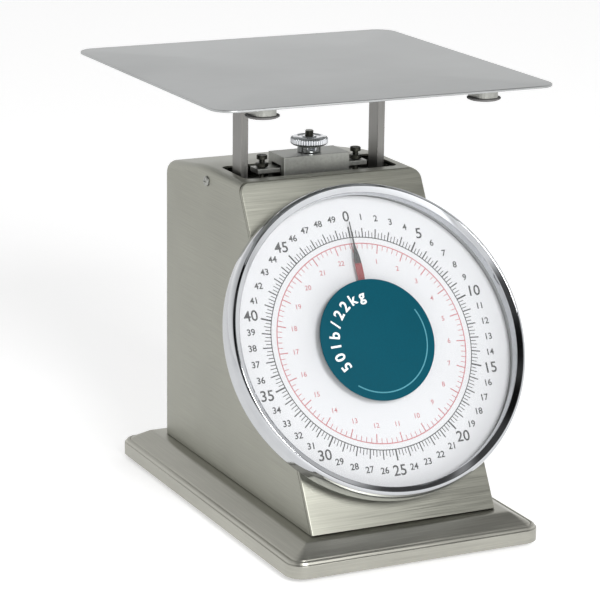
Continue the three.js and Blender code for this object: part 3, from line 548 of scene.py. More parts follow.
def shell_mesh():
    """A surface of two parameters: s runs along the top and down the back, w across the body. At each
    s the section rises from the free edge Q(s) on the right side, bends over the edge P(s), crosses to
    the left, and comes down again. P has the top's and back's outline, Q the front and bottom edges.
    Near the front the bend is sheared forward, to end on the panel's slope."""
    low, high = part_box("body_shell")
    bend = sizes().side_bend
    lean = DIAL.up[1] / DIAL.up[2]
    front_top = low.y + (high.z - low.z) * lean
    corner_z = high.z - REAR_DROP
    p = rounded([(front_top, high.z), (SLOPE_START, high.z), (high.y, corner_z), (high.y, low.z)],
                np.array([0, 14 * MM, sizes().rear_bend, 0]), 12, False)
    p = p[np.r_[True, np.linalg.norm(np.diff(p, axis=0), axis=1) > 1e-7]]
    tangent = np.gradient(p, axis=0)
    tangent /= np.linalg.norm(tangent, axis=1, keepdims=True)
    outward = np.stack([-tangent[:, 1], tangent[:, 0]], -1)
    start_z = high.z - bend
    front_end = np.array([low.y + (start_z - low.z) * lean, start_z])
    foot = np.array([low.y, low.z])
    back_end = np.array([high.y - bend, low.z])
    half = len(p) // 2
    front_edge = front_end + np.linspace(0, 1, half)[:, None] * (foot - front_end)
    bottom_edge = foot + np.linspace(0, 1, len(p) - half + 1)[1:, None] * (back_end - foot)
    q = np.concatenate([front_edge, bottom_edge])
    centre = p - outward * bend
    angle = np.linspace(0, math.pi / 2, 9)
    arc_x = high.x - bend + bend * np.cos(angle)
    arc = centre[:, None] + outward[:, None] * (bend * np.sin(angle))[None, :, None]
    near_front = np.clip(1 - (p[:, 0] - front_top) / (40 * MM), 0, 1)[:, None]
    arc[..., 0] -= near_front * lean * bend * (1 - np.sin(angle))
    right_x = np.r_[high.x, arc_x]
    right = np.concatenate([q[:, None], arc], 1)
    section_x = np.r_[right_x, -right_x[::-1]]
    section = np.concatenate([right, right[:, ::-1]], 1)
    return mesh_of_grid("shell_skin", upright(0, 0).at(section_x, section[..., 0], section[..., 1]))


def thickened(mesh, thickness):
    """The mesh given a wall of that thickness on its inner side."""
    skin = bpy.data.objects.new("skin", tidy(mesh))
    bpy.context.scene.collection.objects.link(skin)
    centre = np.array([v.co for v in skin.data.vertices]).mean(0)
    lean_out = sum((f.center - Vector(centre)).dot(f.normal) * f.area for f in skin.data.polygons)
    wall = skin.modifiers.new("wall", "SOLIDIFY")
    wall.thickness = thickness
    wall.offset = -1.0 if lean_out > 0 else 1.0
    wall.use_even_offset = True
    bpy.context.view_layer.update()
    result = bpy.data.meshes.new_from_object(skin.evaluated_get(bpy.context.evaluated_depsgraph_get()))
    bpy.data.objects.remove(skin)
    return result


def prism(name, outline, place, low, high):
    """A closed outline of (across, up) points carried along a place's out, from low to high."""
    grid = place.at(outline[:, 0], outline[:, 1], np.array([[low], [high]]))
    return mesh_of_grid(name, grid, wrap_v=True, caps=True)


def body_mesh():
    """The folded sheet with the long opening in its top and the window in its back."""
    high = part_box("body_shell")[1]
    top_outline = rounded_rectangle(*OPENING, 5 * MM)
    top_hole = prism("hole", top_outline, upright(0, 0), high.z - 20 * MM, high.z + 20 * MM)
    back = Place((0, high.y, 0), X_AXIS, Z_AXIS, -Y_AXIS)
    window = prism("hole", rounded_rectangle(*WINDOW, 4 * MM), back, -10 * MM, 10 * MM)
    return cut_by(thickened(shell_mesh(), sizes().sheet), [top_hole, window])


def panel_mesh():
    """The front sheet's section, with rounded side edges turned in and back, carried up the slope. Near
    the head each side comes in by R (1 - cos a) while the height rises by R sin a."""
    points = np.array([v.co for v in frame["nodes"]["front_panel"].data.vertices]) - DIAL.origin
    up = points @ DIAL.up
    out = points @ DIAL.out
    half, gauge = points[:, 0].max(), sizes().sheet
    flange = half - 1.5 * MM
    face, back = out.max(), out.min()
    right = [(half, face), (half, face - 2 * gauge * 0.9), (flange, face - 2 * gauge * 0.9), (flange, back),
             (flange - gauge, back), (flange - gauge, face - gauge)]
    loop = right + [(-x, z) for x, z in reversed(right)]
    section = rounded(loop, np.array([1.5, 0.8, 0.4, 0.3, 0.3, 0.6, 0.6, 0.3, 0.3, 0.4, 0.8, 1.5]) * MM, 6)
    bend = sizes().side_bend
    rise = bend / DIAL.up[2]
    turn = np.linspace(0, math.radians(86), 10)
    levels = np.r_[up.min(), up.max() - rise + rise * np.sin(turn)]
    pull = np.r_[0, bend * (1 - np.cos(turn))]
    across = np.sign(section[:, 0]) * np.maximum(np.abs(section[:, 0]) - pull[:, None], 0)
    grid = DIAL.at(across, levels[:, None], section[:, 1])
    return mesh_of_grid("front_sheet", grid, wrap_v=True, caps=True)


# ---------------------------------------------------------------- platform
def platform_mesh():
    """Rings of a rounded square: the middle of the top, a soft bend, the turned-down edge with its
    hem, and the underside."""
    low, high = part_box("platform")
    gauge, rim_depth, bend = 1.2 * MM, 1.5 * MM, 1.0 * MM
    flat = 80 * MM
    outside = [(flat, high.z), (0, high.z), (0, high.z - rim_depth)]
    inside = [(gauge, high.z - rim_depth), (gauge, high.z - gauge), (flat, high.z - gauge)]
    profile = rounded(outside + inside, np.array([0, bend, 0.3 * MM, 0.3 * MM, 0.5 * MM, 0]), 6, False)
    inset, height = profile[:, 0], profile[:, 1]
    corner = np.clip(sizes().platform_corner - inset, 1 * MM, None)
    plan = rounded_rectangle(low.x + inset, high.x - inset, low.y + inset, high.y - inset, corner)
    grid = upright(0, 0).at(plan[..., 0], plan[..., 1], height[:, None])
    return mesh_of_grid("platform_sheet", grid, wrap_v=True, caps=True)


def platform_pin(pad):
    """A short pin with a rounded nose, welded under the platform into the pad's bore."""
    nose, sheet_top = (corner.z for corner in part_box("platform"))
    top, radius = sheet_top - 1.3 * MM, 2.2 * MM
    outline = [(0, top), (radius, top), (radius, nose), (0, nose)]
    profile = rounded(outline, np.array([0, 0, 1.4 * MM, 0]), 6, False)
    return solid_of_turning("pin", standing(pad)[0], profile, 24)


def pad_mesh(node):
    """A grommet: a broad button below the arm, a neck through it and a thin collar on top."""
    place, low, high, radius = standing(node)
    arm_low, arm_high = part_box("platform_spider")
    bore, neck, collar = 2.6 * MM, 4.9 * MM, 8.5 * MM
    shoulder, collar_low = arm_low.z - 0.3 * MM, arm_high.z + 0.25 * MM
    outline = [(bore, low), (radius * 0.84, low), (radius, low + 0.8 * MM), (radius, shoulder),
               (neck, shoulder), (neck, collar_low), (collar, collar_low), (collar, high), (bore, high)]
    return solid_of_turning(node, place, rounded(outline, 0.5 * MM, 5), 64)


def foot_mesh(node):
    """A tapered rubber bumper with a recess for its screw."""
    place, low, high, radius = standing(node)
    bore, recess, seat = 2.4 * MM, 5 * MM, 4.2 * MM
    outline = [(bore, seat), (recess, seat), (recess, low), (7.4 * MM, low), (8.1 * MM, low + 1 * MM),
               (radius, high), (bore, high)]
    return solid_of_turning(node, place, rounded(outline, 0.6 * MM, 5), 64)


# ---------------------------------------------------------------- dial
def bezel_mesh():
    """A spun ring: rolled back edge, drum wall, a full outer bead, and an inner slope that ends in a
    short drop to the lens."""
    back, front, radius = dial_reach("bezel")
    wall = radius - 3.3 * MM
    lens_front = dial_reach("lens")[1]
    outline = [
        (wall, back + 0.2 * MM), (radius - 1.0 * MM, back), (radius, back + 1.6 * MM),
        (radius, front - 4.4 * MM), (radius - 1.5 * MM, front - 0.9 * MM), (radius - 3.2 * MM, front),
        (radius - 3.9 * MM, front - 0.4 * MM), (radius - 6.8 * MM, front - 2.1 * MM),
        (radius - 6.9 * MM, lens_front + 0.3 * MM), (radius - 5.6 * MM, lens_front + 0.5 * MM),
        (radius - 5.1 * MM, front - 5.1 * MM), (wall, front - 5.1 * MM)]
    radii = np.array([0.2, 0.5, 0.9, 2.2, 1.4, 0.6, 0.5, 0.5, 0.1, 0.3, 0.4, 0.3]) * MM
    return solid_of_turning("bezel_ring", DIAL, rounded(outline, radii, 7), 288)


def case_mesh():
    """A spun drum: back plate with a pressed ring, a wall, and the seat for the dial plate."""
    back, front, radius = dial_reach("dial_case")
    seat = dial_reach("dial_plate")[0] - 0.3 * MM
    gauge, bore, ledge = 1.2 * MM, 12 * MM, radius - 6 * MM
    outline = [(bore, back), (52 * MM, back), (54 * MM, back + 0.5 * MM), (60 * MM, back + 0.5 * MM),
               (62 * MM, back), (radius, back), (radius, front), (radius - gauge, front),
               (radius - gauge, seat), (ledge, seat), (ledge, back + gauge), (bore, back + gauge)]
    radii = np.array([0.2, 0.8, 0.8, 0.8, 0.8, 2.2, 0.3, 0.3, 0.2, 0.6, 0.8, 0.2]) * MM
    return solid_of_turning("case_drum", DIAL, rounded(outline, radii, 6), 288)


def washer(name, inner, outer, low, high, soft):
    """A flat ring round the dial's axis, with soft edges."""
    outline = [(inner, low), (outer, low), (outer, high), (inner, high)]
    return solid_of_turning(name, DIAL, rounded(outline, soft, 4), 256)


def button(name, radius, low, high):
    """A flat disc on the dial's axis, with a soft edge."""
    soft = 0.2 * MM
    outline = [(0, low), (radius, low), (radius, high), (0, high)]
    profile = rounded(outline, np.array([0, soft, soft, 0]), 5, False)
    return solid_of_turning(name, DIAL, profile, 256)


def marks_mesh(name, turns, inner, outer, width, low, high):
    """Thin bars from the inner to the outer radius, at each share of a turn clockwise from the top.
    inner, outer and width may differ from bar to bar."""
    angle = np.asarray(turns) * 2 * math.pi
    inner, outer, width = (np.broadcast_to(v, angle.shape) for v in (inner, outer, width))
    along = np.stack([inner, outer, outer, inner], -1)
    beside = np.stack([-width, -width, width, width], -1) / 2
    across = along * np.sin(angle)[:, None] + beside * np.cos(angle)[:, None]
    up = along * np.cos(angle)[:, None] - beside * np.sin(angle)[:, None]
    flat = np.stack([across, up], -1)
    both = np.concatenate([flat, flat], 1)
    depth = np.array([low, high]).repeat(4)
    points = DIAL.at(both[..., 0], both[..., 1], depth).reshape(-1, 3)
    one = np.array([[3, 2, 1, 0], [4, 5, 6, 7], [0, 1, 5, 4], [1, 2, 6, 5], [2, 3, 7, 6], [3, 0, 4, 7]])
    faces = (one[None] + 8 * np.arange(len(angle))[:, None, None]).reshape(-1, 4)
    mesh = bpy.data.meshes.new(name)
    mesh.from_pydata(points.tolist(), [], faces.tolist())
    return mesh


FONT_SCALE = 1.37           # the font's size for figures one unit high


def lettering(name, items, low, thickness, weight):
    """Text as thin solids on the dial, its strokes thickened by weight on both sides. Each item is
    (text, height, across, up, turn in radians)."""
    work = bmesh.new()
    for text, height, across, up, turn in items:
        curve = bpy.data.curves.new("text", "FONT")
        curve.body = text
        curve.align_x = curve.align_y = "CENTER"
        curve.size = height * FONT_SCALE
        curve.extrude = thickness / 2
        curve.offset = weight
        curve.resolution_u = 4
        holder = bpy.data.objects.new("text", curve)
        bpy.context.scene.collection.objects.link(holder)
        bpy.context.view_layer.update()
        mesh = bpy.data.meshes.new_from_object(holder.evaluated_get(bpy.context.evaluated_depsgraph_get()))
        local = np.zeros(len(mesh.vertices) * 3)
        mesh.vertices.foreach_get("co", local)
        local = local.reshape(-1, 3)
        c, s = math.cos(turn), math.sin(turn)
        placed = DIAL.at(across + c * local[:, 0] + s * local[:, 1], up - s * local[:, 0] + c * local[:, 1],
                         low + thickness / 2 + local[:, 2])
        mesh.vertices.foreach_set("co", placed.ravel())
        work.from_mesh(mesh)
        bpy.data.objects.remove(holder)
        bpy.data.curves.remove(curve)
        bpy.data.meshes.remove(mesh)
    whole = bpy.data.meshes.new(name)
    work.to_mesh(whole)
    work.free()
    return whole


POUNDS = 50                 # one turn of the pointer
KILOGRAMS = 22.68           # the same load
POUND_LINE = 67.8 * MM      # radius where the pound marks start
KILO_LINE = 63.3 * MM       # radius where the kilogram marks end
LARGE_NUMBERS = 81 * MM     # radius of the numbers at every fifth pound
SMALL_NUMBERS = 80.5 * MM   # radius of the other pound numbers
KILO_NUMBERS = 52.5 * MM    # radius of the kilogram numbers
KILO_NUMERAL = 3.2 * MM     # height of the kilogram numbers


def numbers_round(values, per_turn, radius, height):
    """Upright numbers on a circle: value v stands at v / per_turn of a turn clockwise from the top."""
    items = []
    for value in values:
        angle = value / per_turn * 2 * math.pi
        items.append((str(value), height, radius * math.sin(angle), radius * math.cos(angle), 0.0))
    return items


def pound_marks(low, high):
    """A bar for each quarter pound, longer at the half, the pound and every fifth pound."""
    count = np.arange(POUNDS * 4)
    pound, fifth, half = count % 4 == 0, count % 20 == 0, count % 4 == 2
    outer = POUND_LINE + np.select([fifth, pound, half], [6.8 * MM, 5.8 * MM, 4.2 * MM], 3.4 * MM)
    width = np.select([fifth, pound], [1.0 * MM, 0.75 * MM], 0.5 * MM)
    return marks_mesh("pound_marks", count / len(count), POUND_LINE, outer, width, low, high)


def kilo_marks(low, high):
    """A bar for each fifth of a kilogram, longer at the kilogram."""
    count = np.arange(int(KILOGRAMS * 5) + 1)
    kilo = count % 5 == 0
    inner = KILO_LINE - np.where(kilo, 5.6 * MM, 3.0 * MM)
    width = np.where(kilo, 0.7 * MM, 0.45 * MM)
    return marks_mesh("kilo_marks", count / 5 / KILOGRAMS, inner, KILO_LINE, width, low, high)


def arc_text(text, height, radius, start, step):
    """Letters along a circle, each turned to stand on it. start and step are shares of a turn."""
    items = []
    for index, letter in enumerate(text):
        angle = (start + step * index) * 2 * math.pi
        items.append((letter, height, radius * math.sin(angle), radius * math.cos(angle), angle))
    return items


def arc_band(name, inner, outer, start, end, low, high):
    """A thin curved bar between two shares of a turn."""
    angle = np.linspace(start, end, 72)[:, None] * 2 * math.pi
    radius = np.array([inner, outer, outer, inner])
    grid = DIAL.at(radius * np.sin(angle), radius * np.cos(angle), np.array([low, low, high, high]))
    return mesh_of_grid(name, grid, wrap_v=True, caps=True)


# ---------------------------------------------------------------- pointer
def blade_mesh(name, stations, low, high):
    """A blade along the dial's up: at each (distance, half width) a low rounded section, thick in the
    middle and thin at both edges."""
    stations = np.asarray(stations, float)
    distance, half = stations[:, :1], stations[:, 1:]
    angle = np.linspace(0, 2 * math.pi, 16, endpoint=False)
    depth = (low + high) / 2 + (high - low) / 2 * np.sign(np.sin(angle)) * np.abs(np.sin(angle)) ** 0.6
    return mesh_of_grid(name, DIAL.at(half * np.cos(angle), distance, depth), wrap_v=True, caps=True)


def pointer_meshes():
    """The pointer's broad part and its needle, from (distance, half width) pairs in millimetres."""
    low, high, _ = dial_reach("pointer_hand")
    broad = [(-24, 3.4), (-22, 3.6), (-12, 2.6), (-7, 4.6), (0, 6.0), (7, 4.6), (12, 2.6), (38, 2.3),
             (44, 2.5), (50, 2.4)]
    needle = [(50, 2.4), (54, 2.1), (57, 1.6), (60, 0.95), (63, 0.55), (70, 0.45), (77, 0.34)]
    return (blade_mesh("pointer_broad", np.array(broad) * MM, low, high),
            blade_mesh("pointer_needle", np.array(needle) * MM, low, high))


# ---------------------------------------------------------------- knob, screws and springs
def knob_mesh():
    """A turned knob with a collar below and a dished top. Its rim carries n ribs: the radius there is
    r - depth (1 - |cos(n a / 2)| ** 0.7)."""
    place, low, high, radius = standing("zero_knob")
    bore, collar = 2.8 * MM, 7.6 * MM
    rib_depth, dish = 0.75 * MM, high - 0.7 * MM
    rim_low, rim_high = low + 4.4 * MM, high - 0.8 * MM
    outline = [(bore, low), (collar, low), (collar, rim_low - 0.6 * MM), (radius - 1.4 * MM, rim_low),
               (radius, rim_low + 1.0 * MM), (radius, rim_high - 0.6 * MM),
               (radius - 1.0 * MM, rim_high + 0.4 * MM), (8.2 * MM, high), (6.8 * MM, dish),
               (4.8 * MM, dish), (4.4 * MM, high), (bore, high)]
    profile = rounded(outline, 0.45 * MM, 5)
    flutes = sizes().flutes

    def ribs(r, a):
        on_rim = np.clip((r - (radius - 1.6 * MM)) / (1.2 * MM), 0, 1)
        return r - on_rim * rib_depth * (1 - np.abs(np.cos(flutes * a / 2)) ** 0.7)

    return solid_of_turning("knob_body", place, profile, flutes * 8, ribs)


def nut_mesh(name, place, radius, low, high):
    """A hexagon whose two ends are drawn in by a chamfer."""
    chamfer = 0.4 * MM
    corner = (np.arange(6) + 0.5) * math.pi / 3
    outline = rounded(np.stack([np.cos(corner), np.sin(corner)], -1) * radius, chamfer, 3)
    levels = np.array([low, low + chamfer, high - chamfer, high])[:, None]
    shrink = np.array([0.9, 1.0, 1.0, 0.9])[:, None]
    grid = place.at(outline[:, 0] * shrink, outline[:, 1] * shrink, levels)
    return mesh_of_grid(name, grid, wrap_v=True, caps=True)


PITCH = 0.8 * MM            # of the stem's and the hanger screws' threads


def thread_mesh(name, place, radius, low, high):
    """A screw thread: radius less a triangle wave of the height less the turn, over one pitch."""
    height = np.arange(low, high + 1e-9, PITCH / 6)[:, None]
    angle = np.linspace(0, 2 * math.pi, 20, endpoint=False)
    phase = (height / PITCH - angle / (2 * math.pi)) % 1
    r = radius - 0.34 * PITCH * np.abs(2 * phase - 1)
    grid = place.at(r * np.cos(angle), r * np.sin(angle), height)
    return mesh_of_grid(name, grid, wrap_v=True, caps=True)


HEAD_SIDES = 72             # corners round a screw's head


def soft_step(distance, edge):
    """One where distance is below zero and nought above it, with a soft change about edge wide."""
    return 1 / (1 + np.exp(distance / edge))


def slotted_head(name, place, radius, low, high, slot_width):
    """A cheese head: its top height is lowered where |up| is under half the slot's width."""
    r = np.r_[np.full(3, radius), np.linspace(radius * 0.9, 0, 22)]
    h = np.r_[low, high - 0.35 * MM, high - 0.2 * MM, np.full(22, high)]
    start = np.array([[0.0, low]])
    profile = np.concatenate([start, np.stack([r, h], -1)])
    angle = np.linspace(0, 2 * math.pi, HEAD_SIDES, endpoint=False)[None, :]
    across, up = profile[:, :1] * np.cos(angle), profile[:, :1] * np.sin(angle)
    on_top = (np.arange(len(profile)) >= 3)[:, None]
    in_slot = soft_step(np.abs(up) - slot_width / 2, 0.05 * MM)
    height = profile[:, 1:] - on_top * in_slot * 0.45 * (high - low)
    return mesh_of_grid(name, place.at(across, up, height), wrap_v=True)


def hanger_mesh(node):
    """Threaded rod with an open eye at its foot, lock nut on the yoke and a slotted cap. The eye is bent
    round the spring's loop with room for the yoke's travel above and below the wire."""
    place, low, high, _ = standing(node)
    yoke_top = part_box("top_bridge")[1].z - 7.5 * MM
    eye_radius, eye_wire = 2.65 * MM, 0.6 * MM
    eye_height = low - 1.0 * MM
    turn = np.linspace(0.5 * math.pi, 2.4 * math.pi, 44)
    bend = place.at(0 * turn, eye_radius * np.cos(turn), eye_height + eye_radius * np.sin(turn))
    eye = mesh_of_grid("eye", swept(bend, eye_wire, X_AXIS), wrap_v=True, caps=True)
    rod_low = eye_height + eye_radius - 0.3 * MM
    rod = thread_mesh("rod", place, 2.0 * MM, rod_low, high - 2.4 * MM)
    nut = nut_mesh("nut", place, 4.2 * MM, yoke_top + 0.3 * MM, yoke_top + 3.0 * MM)
    cap = slotted_head("cap", place, 3.4 * MM, high - 2.6 * MM, high, 0.9 * MM)
    return joined(node, [tidy(eye), tidy(rod), tidy(nut), tidy(cap)])


def screw_mesh(node, out):
    """A pan head with a cross of two slots, and its shank behind. The upright screws are larger."""
    low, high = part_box(node)
    reach = abs(np.array(high - low) @ out)
    level = abs(out[2]) < 0.9
    across = np.cross(out, Z_AXIS if level else X_AXIS)
    across /= np.linalg.norm(across)
    place = Place(np.array((low + high) / 2) - out * reach / 2, across, np.cross(out, across), out)
    head_radius, head_height = (3.4 * MM, 1.8 * MM) if level else (4.0 * MM, 2.4 * MM)
    seat, shank_radius = reach - head_height, 1.8 * MM
    shank_end = seat + 0.2 * MM
    outline = [(0, 0), (shank_radius, 0), (shank_radius, shank_end), (0, shank_end)]
    shank = solid_of_turning("shank", place, outline, 24)
    r = np.linspace(1, 0, 26)
    dome = seat + head_height * (1 - r ** 2) ** 0.5 * 0.9
    profile = np.concatenate([[(0, seat)], np.stack([r * head_radius, dome], -1)])
    angle = np.linspace(0, 2 * math.pi, HEAD_SIDES, endpoint=False)[None, :]
    a, u = profile[:, :1] * np.cos(angle), profile[:, :1] * np.sin(angle)
    slot = soft_step(np.minimum(np.abs(a), np.abs(u)) - 0.35 * MM, 0.04 * MM)
    slot = slot * soft_step(np.hypot(a, u) - 0.6 * head_radius, 0.1 * MM)
    slot = slot * (np.arange(len(profile)) > 1)[:, None]
    head = mesh_of_grid("head", place.at(a, u, profile[:, 1:] - 0.5 * head_height * slot), wrap_v=True)
    return joined(node, [tidy(shank), tidy(head)])


def spring_mesh(node):
    """A close coil, (R cos a, R sin a, rising evenly with a), and an upright loop at each end."""
    place, low, high, half_width = standing(node)
    wire = sizes().wire
    radius = half_width - wire / 2
    loop_radius = 3.6 * MM
    end_room = 2 * loop_radius + 0.6 * wire
    coil_low, coil_high = low + end_room, high - end_room
    turns = sizes().coils
    angle = np.linspace(0, 2 * math.pi * turns, turns * 28)
    rise = coil_low + (coil_high - coil_low) * angle / angle[-1]
    coil = swept(place.at(radius * np.cos(angle), radius * np.sin(angle), rise), wire / 2, Z_AXIS)
    meshes = [mesh_of_grid("coil", coil, wrap_v=True, caps=True)]
    for end, side in ((coil_high, 1), (coil_low, -1)):
        sweep = np.linspace(-0.5 * math.pi, 1.2 * math.pi, 40)
        height = end + side * (0.3 * wire + loop_radius + loop_radius * np.sin(sweep))
        path = place.at(loop_radius * np.cos(sweep), 0 * sweep, height)
        meshes.append(mesh_of_grid("loop", swept(path, wire / 2, Y_AXIS), wrap_v=True, caps=True))
        arm = np.linspace(0, 1, 12)
        reach = place.at(radius * (1 - arm), 0 * arm, end + side * 0.3 * wire * arm)
        meshes.append(mesh_of_grid("arm", swept(reach, wire / 2, Y_AXIS), wrap_v=True, caps=True))
    return joined(node, [tidy(mesh) for mesh in meshes])


# ---------------------------------------------------------------- operators
SIDES = ("left", "right")
CORNERS = [f"{end}_{side}" for side in SIDES for end in ("front", "rear")]


class MakePan(Operator):
    """Base pan with its slope, bead and lip"""
    bl_idname = "dialscale.pan"
    bl_label = "Base pan"

    def execute(self, context):
        show("base_pan_sheet", pan_mesh(), "pan", "housing", "pan_stainless", "base_pan")
        return {"FINISHED"}


class MakeBody(Operator):
    """Folded shell and the leaning front panel"""
    bl_idname = "dialscale.body"
    bl_label = "Body"

    def execute(self, context):
        show("shell_sheet", body_mesh(), "shell", "housing", "shell_stainless", "body_shell")
        show("front_sheet", panel_mesh(), "panel", "housing", "panel_stainless", "front_panel")
        return {"FINISHED"}


class MakePlatform(Operator):
    """Square platform, its pins and the rubber pads"""
    bl_idname = "dialscale.platform"
    bl_label = "Platform"

    def execute(self, context):
        pins = [tidy(platform_pin(f"platform_pad_{corner}")) for corner in CORNERS]
        show("platform_sheet", platform_mesh(), "platform", "carriage", "platform_stainless", "platform")
        show("platform_pins", joined("platform_pins", pins), "zinc", "carriage", "platform_stainless")
        for corner in CORNERS:
            node = f"platform_pad_{corner}"
            show(f"pad_{corner}", pad_mesh(node), "rubber", "carriage", "rubber", node)
        return {"FINISHED"}


class MakeFeet(Operator):
    """Rubber feet and their screws"""
    bl_idname = "dialscale.feet"
    bl_label = "Feet"

    def execute(self, context):
        for corner in CORNERS:
            foot = f"foot_{corner}"
            screw = f"foot_screw_{corner}"
            show(f"bumper_{corner}", foot_mesh(foot), "rubber", "housing", "rubber", foot)
            show(f"bumper_screw_{corner}", screw_mesh(screw, -Z_AXIS), "zinc", "housing", "zinc_steel", screw)
        return {"FINISHED"}


class MakeBezel(Operator):
    """Chrome bezel and the drum behind it"""
    bl_idname = "dialscale.bezel"
    bl_label = "Bezel and case"

    def execute(self, context):
        show("bezel_ring", bezel_mesh(), "chrome", "housing", "chrome", "bezel")
        show("case_drum", case_mesh(), "platform", "housing", "zinc_steel", "dial_case")
        return {"FINISHED"}


class MakeDial(Operator):
    """Dial plate with its printed marks and numbers"""
    bl_idname = "dialscale.dial"
    bl_label = "Dial"

    def execute(self, context):
        low, high, radius = dial_reach("dial_plate")
        face = washer("dial_face", 6.5 * MM, radius, low, high, 0.15 * MM)
        show("dial_face", face, "enamel", "housing", "dial_enamel", "dial_plate")
        ink = sizes().print_height
        top = high + ink
        large = numbers_round(range(0, POUNDS, 5), POUNDS, LARGE_NUMBERS, sizes().numeral)
        others = [pound for pound in range(POUNDS) if pound % 5]
        small = numbers_round(others, POUNDS, SMALL_NUMBERS, sizes().small_numeral)
        kilos = numbers_round(range(int(KILOGRAMS) + 1), KILOGRAMS, KILO_NUMBERS, KILO_NUMERAL)
        pound_ring = washer("ring", POUND_LINE - 0.55 * MM, POUND_LINE + 0.05 * MM, high, top, 0.01 * MM)
        kilo_ring = washer("ring", KILO_LINE - 0.05 * MM, KILO_LINE + 0.65 * MM, high, top, 0.01 * MM)
        printed = (("pound_ring", pound_ring, "ink"),
                   ("kilo_ring", kilo_ring, "red_ink"),
                   ("pound_marks", pound_marks(high, top), "ink"),
                   ("kilo_marks", kilo_marks(high, top), "red_ink"),
                   ("pound_numbers", lettering("numbers", large + small, high, ink, 0.11 * MM), "ink"),
                   ("kilo_numbers", lettering("numbers", kilos, high, ink, 0.05 * MM), "red_ink"))
        for name, mesh, kind in printed:
            show(name, mesh, kind, "housing", "dial_enamel")
        return {"FINISHED"}


class MakeLens(Operator):
    """Lens and the disc on it"""
    bl_idname = "dialscale.lens"
    bl_label = "Lens and disc"

    def execute(self, context):
        low, high, radius = dial_reach("lens")
        sheet = button("lens_sheet", radius, low, high)
        show("lens_sheet", sheet, "lens", "housing", "lens_glass", "lens")
        low, high, radius = dial_reach("centre_disc")
        disc = button("disc_label", radius, low, high)
        show("disc_label", disc, "label", "housing", "teal_label", "centre_disc")
        ink = sizes().print_height
        letters = arc_text("50lb/22kg", height=7.0 * MM, radius=28.5 * MM, start=-0.335, step=0.0385)
        capacity = lettering("capacity", letters, high, ink, 0.22 * MM)
        show("capacity_print", capacity, "label_ink", "housing", "teal_label")
        line = arc_band("line", inner=33.0 * MM, outer=33.8 * MM, start=0.17, end=0.6, low=high,
                        high=high + ink)
        show("fine_line_print", line, "fine_line", "housing", "teal_label")
        return {"FINISHED"}


class MakePointer(Operator):
    """Pointer with its broad and its fine part"""
    bl_idname = "dialscale.pointer"
    bl_label = "Pointer"

    def execute(self, context):
        broad, needle = pointer_meshes()
        show("pointer_broad", broad, "pointer", "pointer", "pointer_paint", "pointer_hand")
        show("pointer_needle", needle, "pointer_black", "pointer", "pointer_paint")
        return {"FINISHED"}


class MakeZeroing(Operator):
    """Zero knob, the thread above it and the hanger screws"""
    bl_idname = "dialscale.zeroing"
    bl_label = "Zero setting"

    def execute(self, context):
        show("knob_body", knob_mesh(), "chrome", "zero_knob", "chrome", "zero_knob")
        place, _, top, _ = standing("yoke")
        stem = thread_mesh("stem", place, 2.75 * MM, top - 12 * MM, top - 0.3 * MM)
        show("stem_thread", stem, "black", "yoke", "zinc_steel")
        for side in SIDES:
            node = f"hanger_screw_{side}"
            show(f"hanger_{side}", hanger_mesh(node), "black", "yoke", "dark_steel", node)
        return {"FINISHED"}


class MakeScrews(Operator):
    """Screws in the sides and the rear cover"""
    bl_idname = "dialscale.screws"
    bl_label = "Screws"

    def execute(self, context):
        for side, outward in zip(SIDES, (-X_AXIS, X_AXIS)):
            for name, node, out in ((f"side_screw_{side}", f"shell_screw_{side}", outward),
                                    (f"rear_screw_{side}", f"cover_screw_{side}", Y_AXIS)):
                show(name, screw_mesh(node, out), "zinc", "housing", "zinc_steel", node)
        return {"FINISHED"}


class MakeSprings(Operator):
    """The two extension springs"""
    bl_idname = "dialscale.springs"
    bl_label = "Springs"

    def execute(self, context):
        for side in SIDES:
            node = f"spring_{side}"
            piece = bpy.data.objects.new(f"coil_{side}", tidy(spring_mesh(node)))
            bpy.context.scene.collection.objects.link(piece)
            piece.data.materials.append(finish("wire"))
            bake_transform(piece)
            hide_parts(node)
        return {"FINISHED"}


SOFT_EDGES = {
    "zinc": ["chassis", "top_bridge", "yoke", "platform_spider", "upper_check_link", "lower_check_link",
             "upper_link_rod", "lower_link_rod", "dashpot_cap", "dashpot_piston", "movement_frame",
             "pinion_shaft", "rack_pin", "drive_arm", *(f"case_screw_{number}" for number in range(1, 5))],
    "shell": ["rear_cover"],
    "posts": ["carriage_frame"],
    "brass": ["dashpot_cylinder", "front_bush", "rear_bush", "rack", "pinion", "pointer_hub"],
    "nylon": ["rack_guide"],
}


FINE_TEETH = ("rack", "pinion")     # these take a smaller bevel


class FinishInner(Operator):
    """Finishes and soft edges on the model's own nodes"""
    bl_idname = "dialscale.inner"
    bl_label = "Inner parts"

    def execute(self, context):
        for kind, names in SOFT_EDGES.items():
            for name in names:
                node = frame["nodes"][name]
                node.data.materials.clear()
                node.data.materials.append(finish(kind))
                weld = node.modifiers.new("weld", "WELD")
                weld.merge_threshold = 0.002 * MM
                bevel = node.modifiers.new("soft_edge", "BEVEL")
                bevel.width = 0.1 * MM if name in FINE_TEETH else 0.35 * MM
                bevel.segments = 2
                bevel.limit_method = "ANGLE"
                bevel.angle_limit = math.radians(40)
                bevel.use_clamp_overlap = True
        return {"FINISHED"}


# ---------------------------------------------------------------- stage
VIEW_AZIMUTH = math.radians(-25.98)
VIEW_ELEVATION = math.radians(15.03)
VIEW_ROLL = math.radians(0.72)
VIEW_DISTANCE = 1.735
VIEW_AIM = Vector((-5.06 * MM, 23.1 * MM, 127.27 * MM))
VIEW_LENS = 161.8


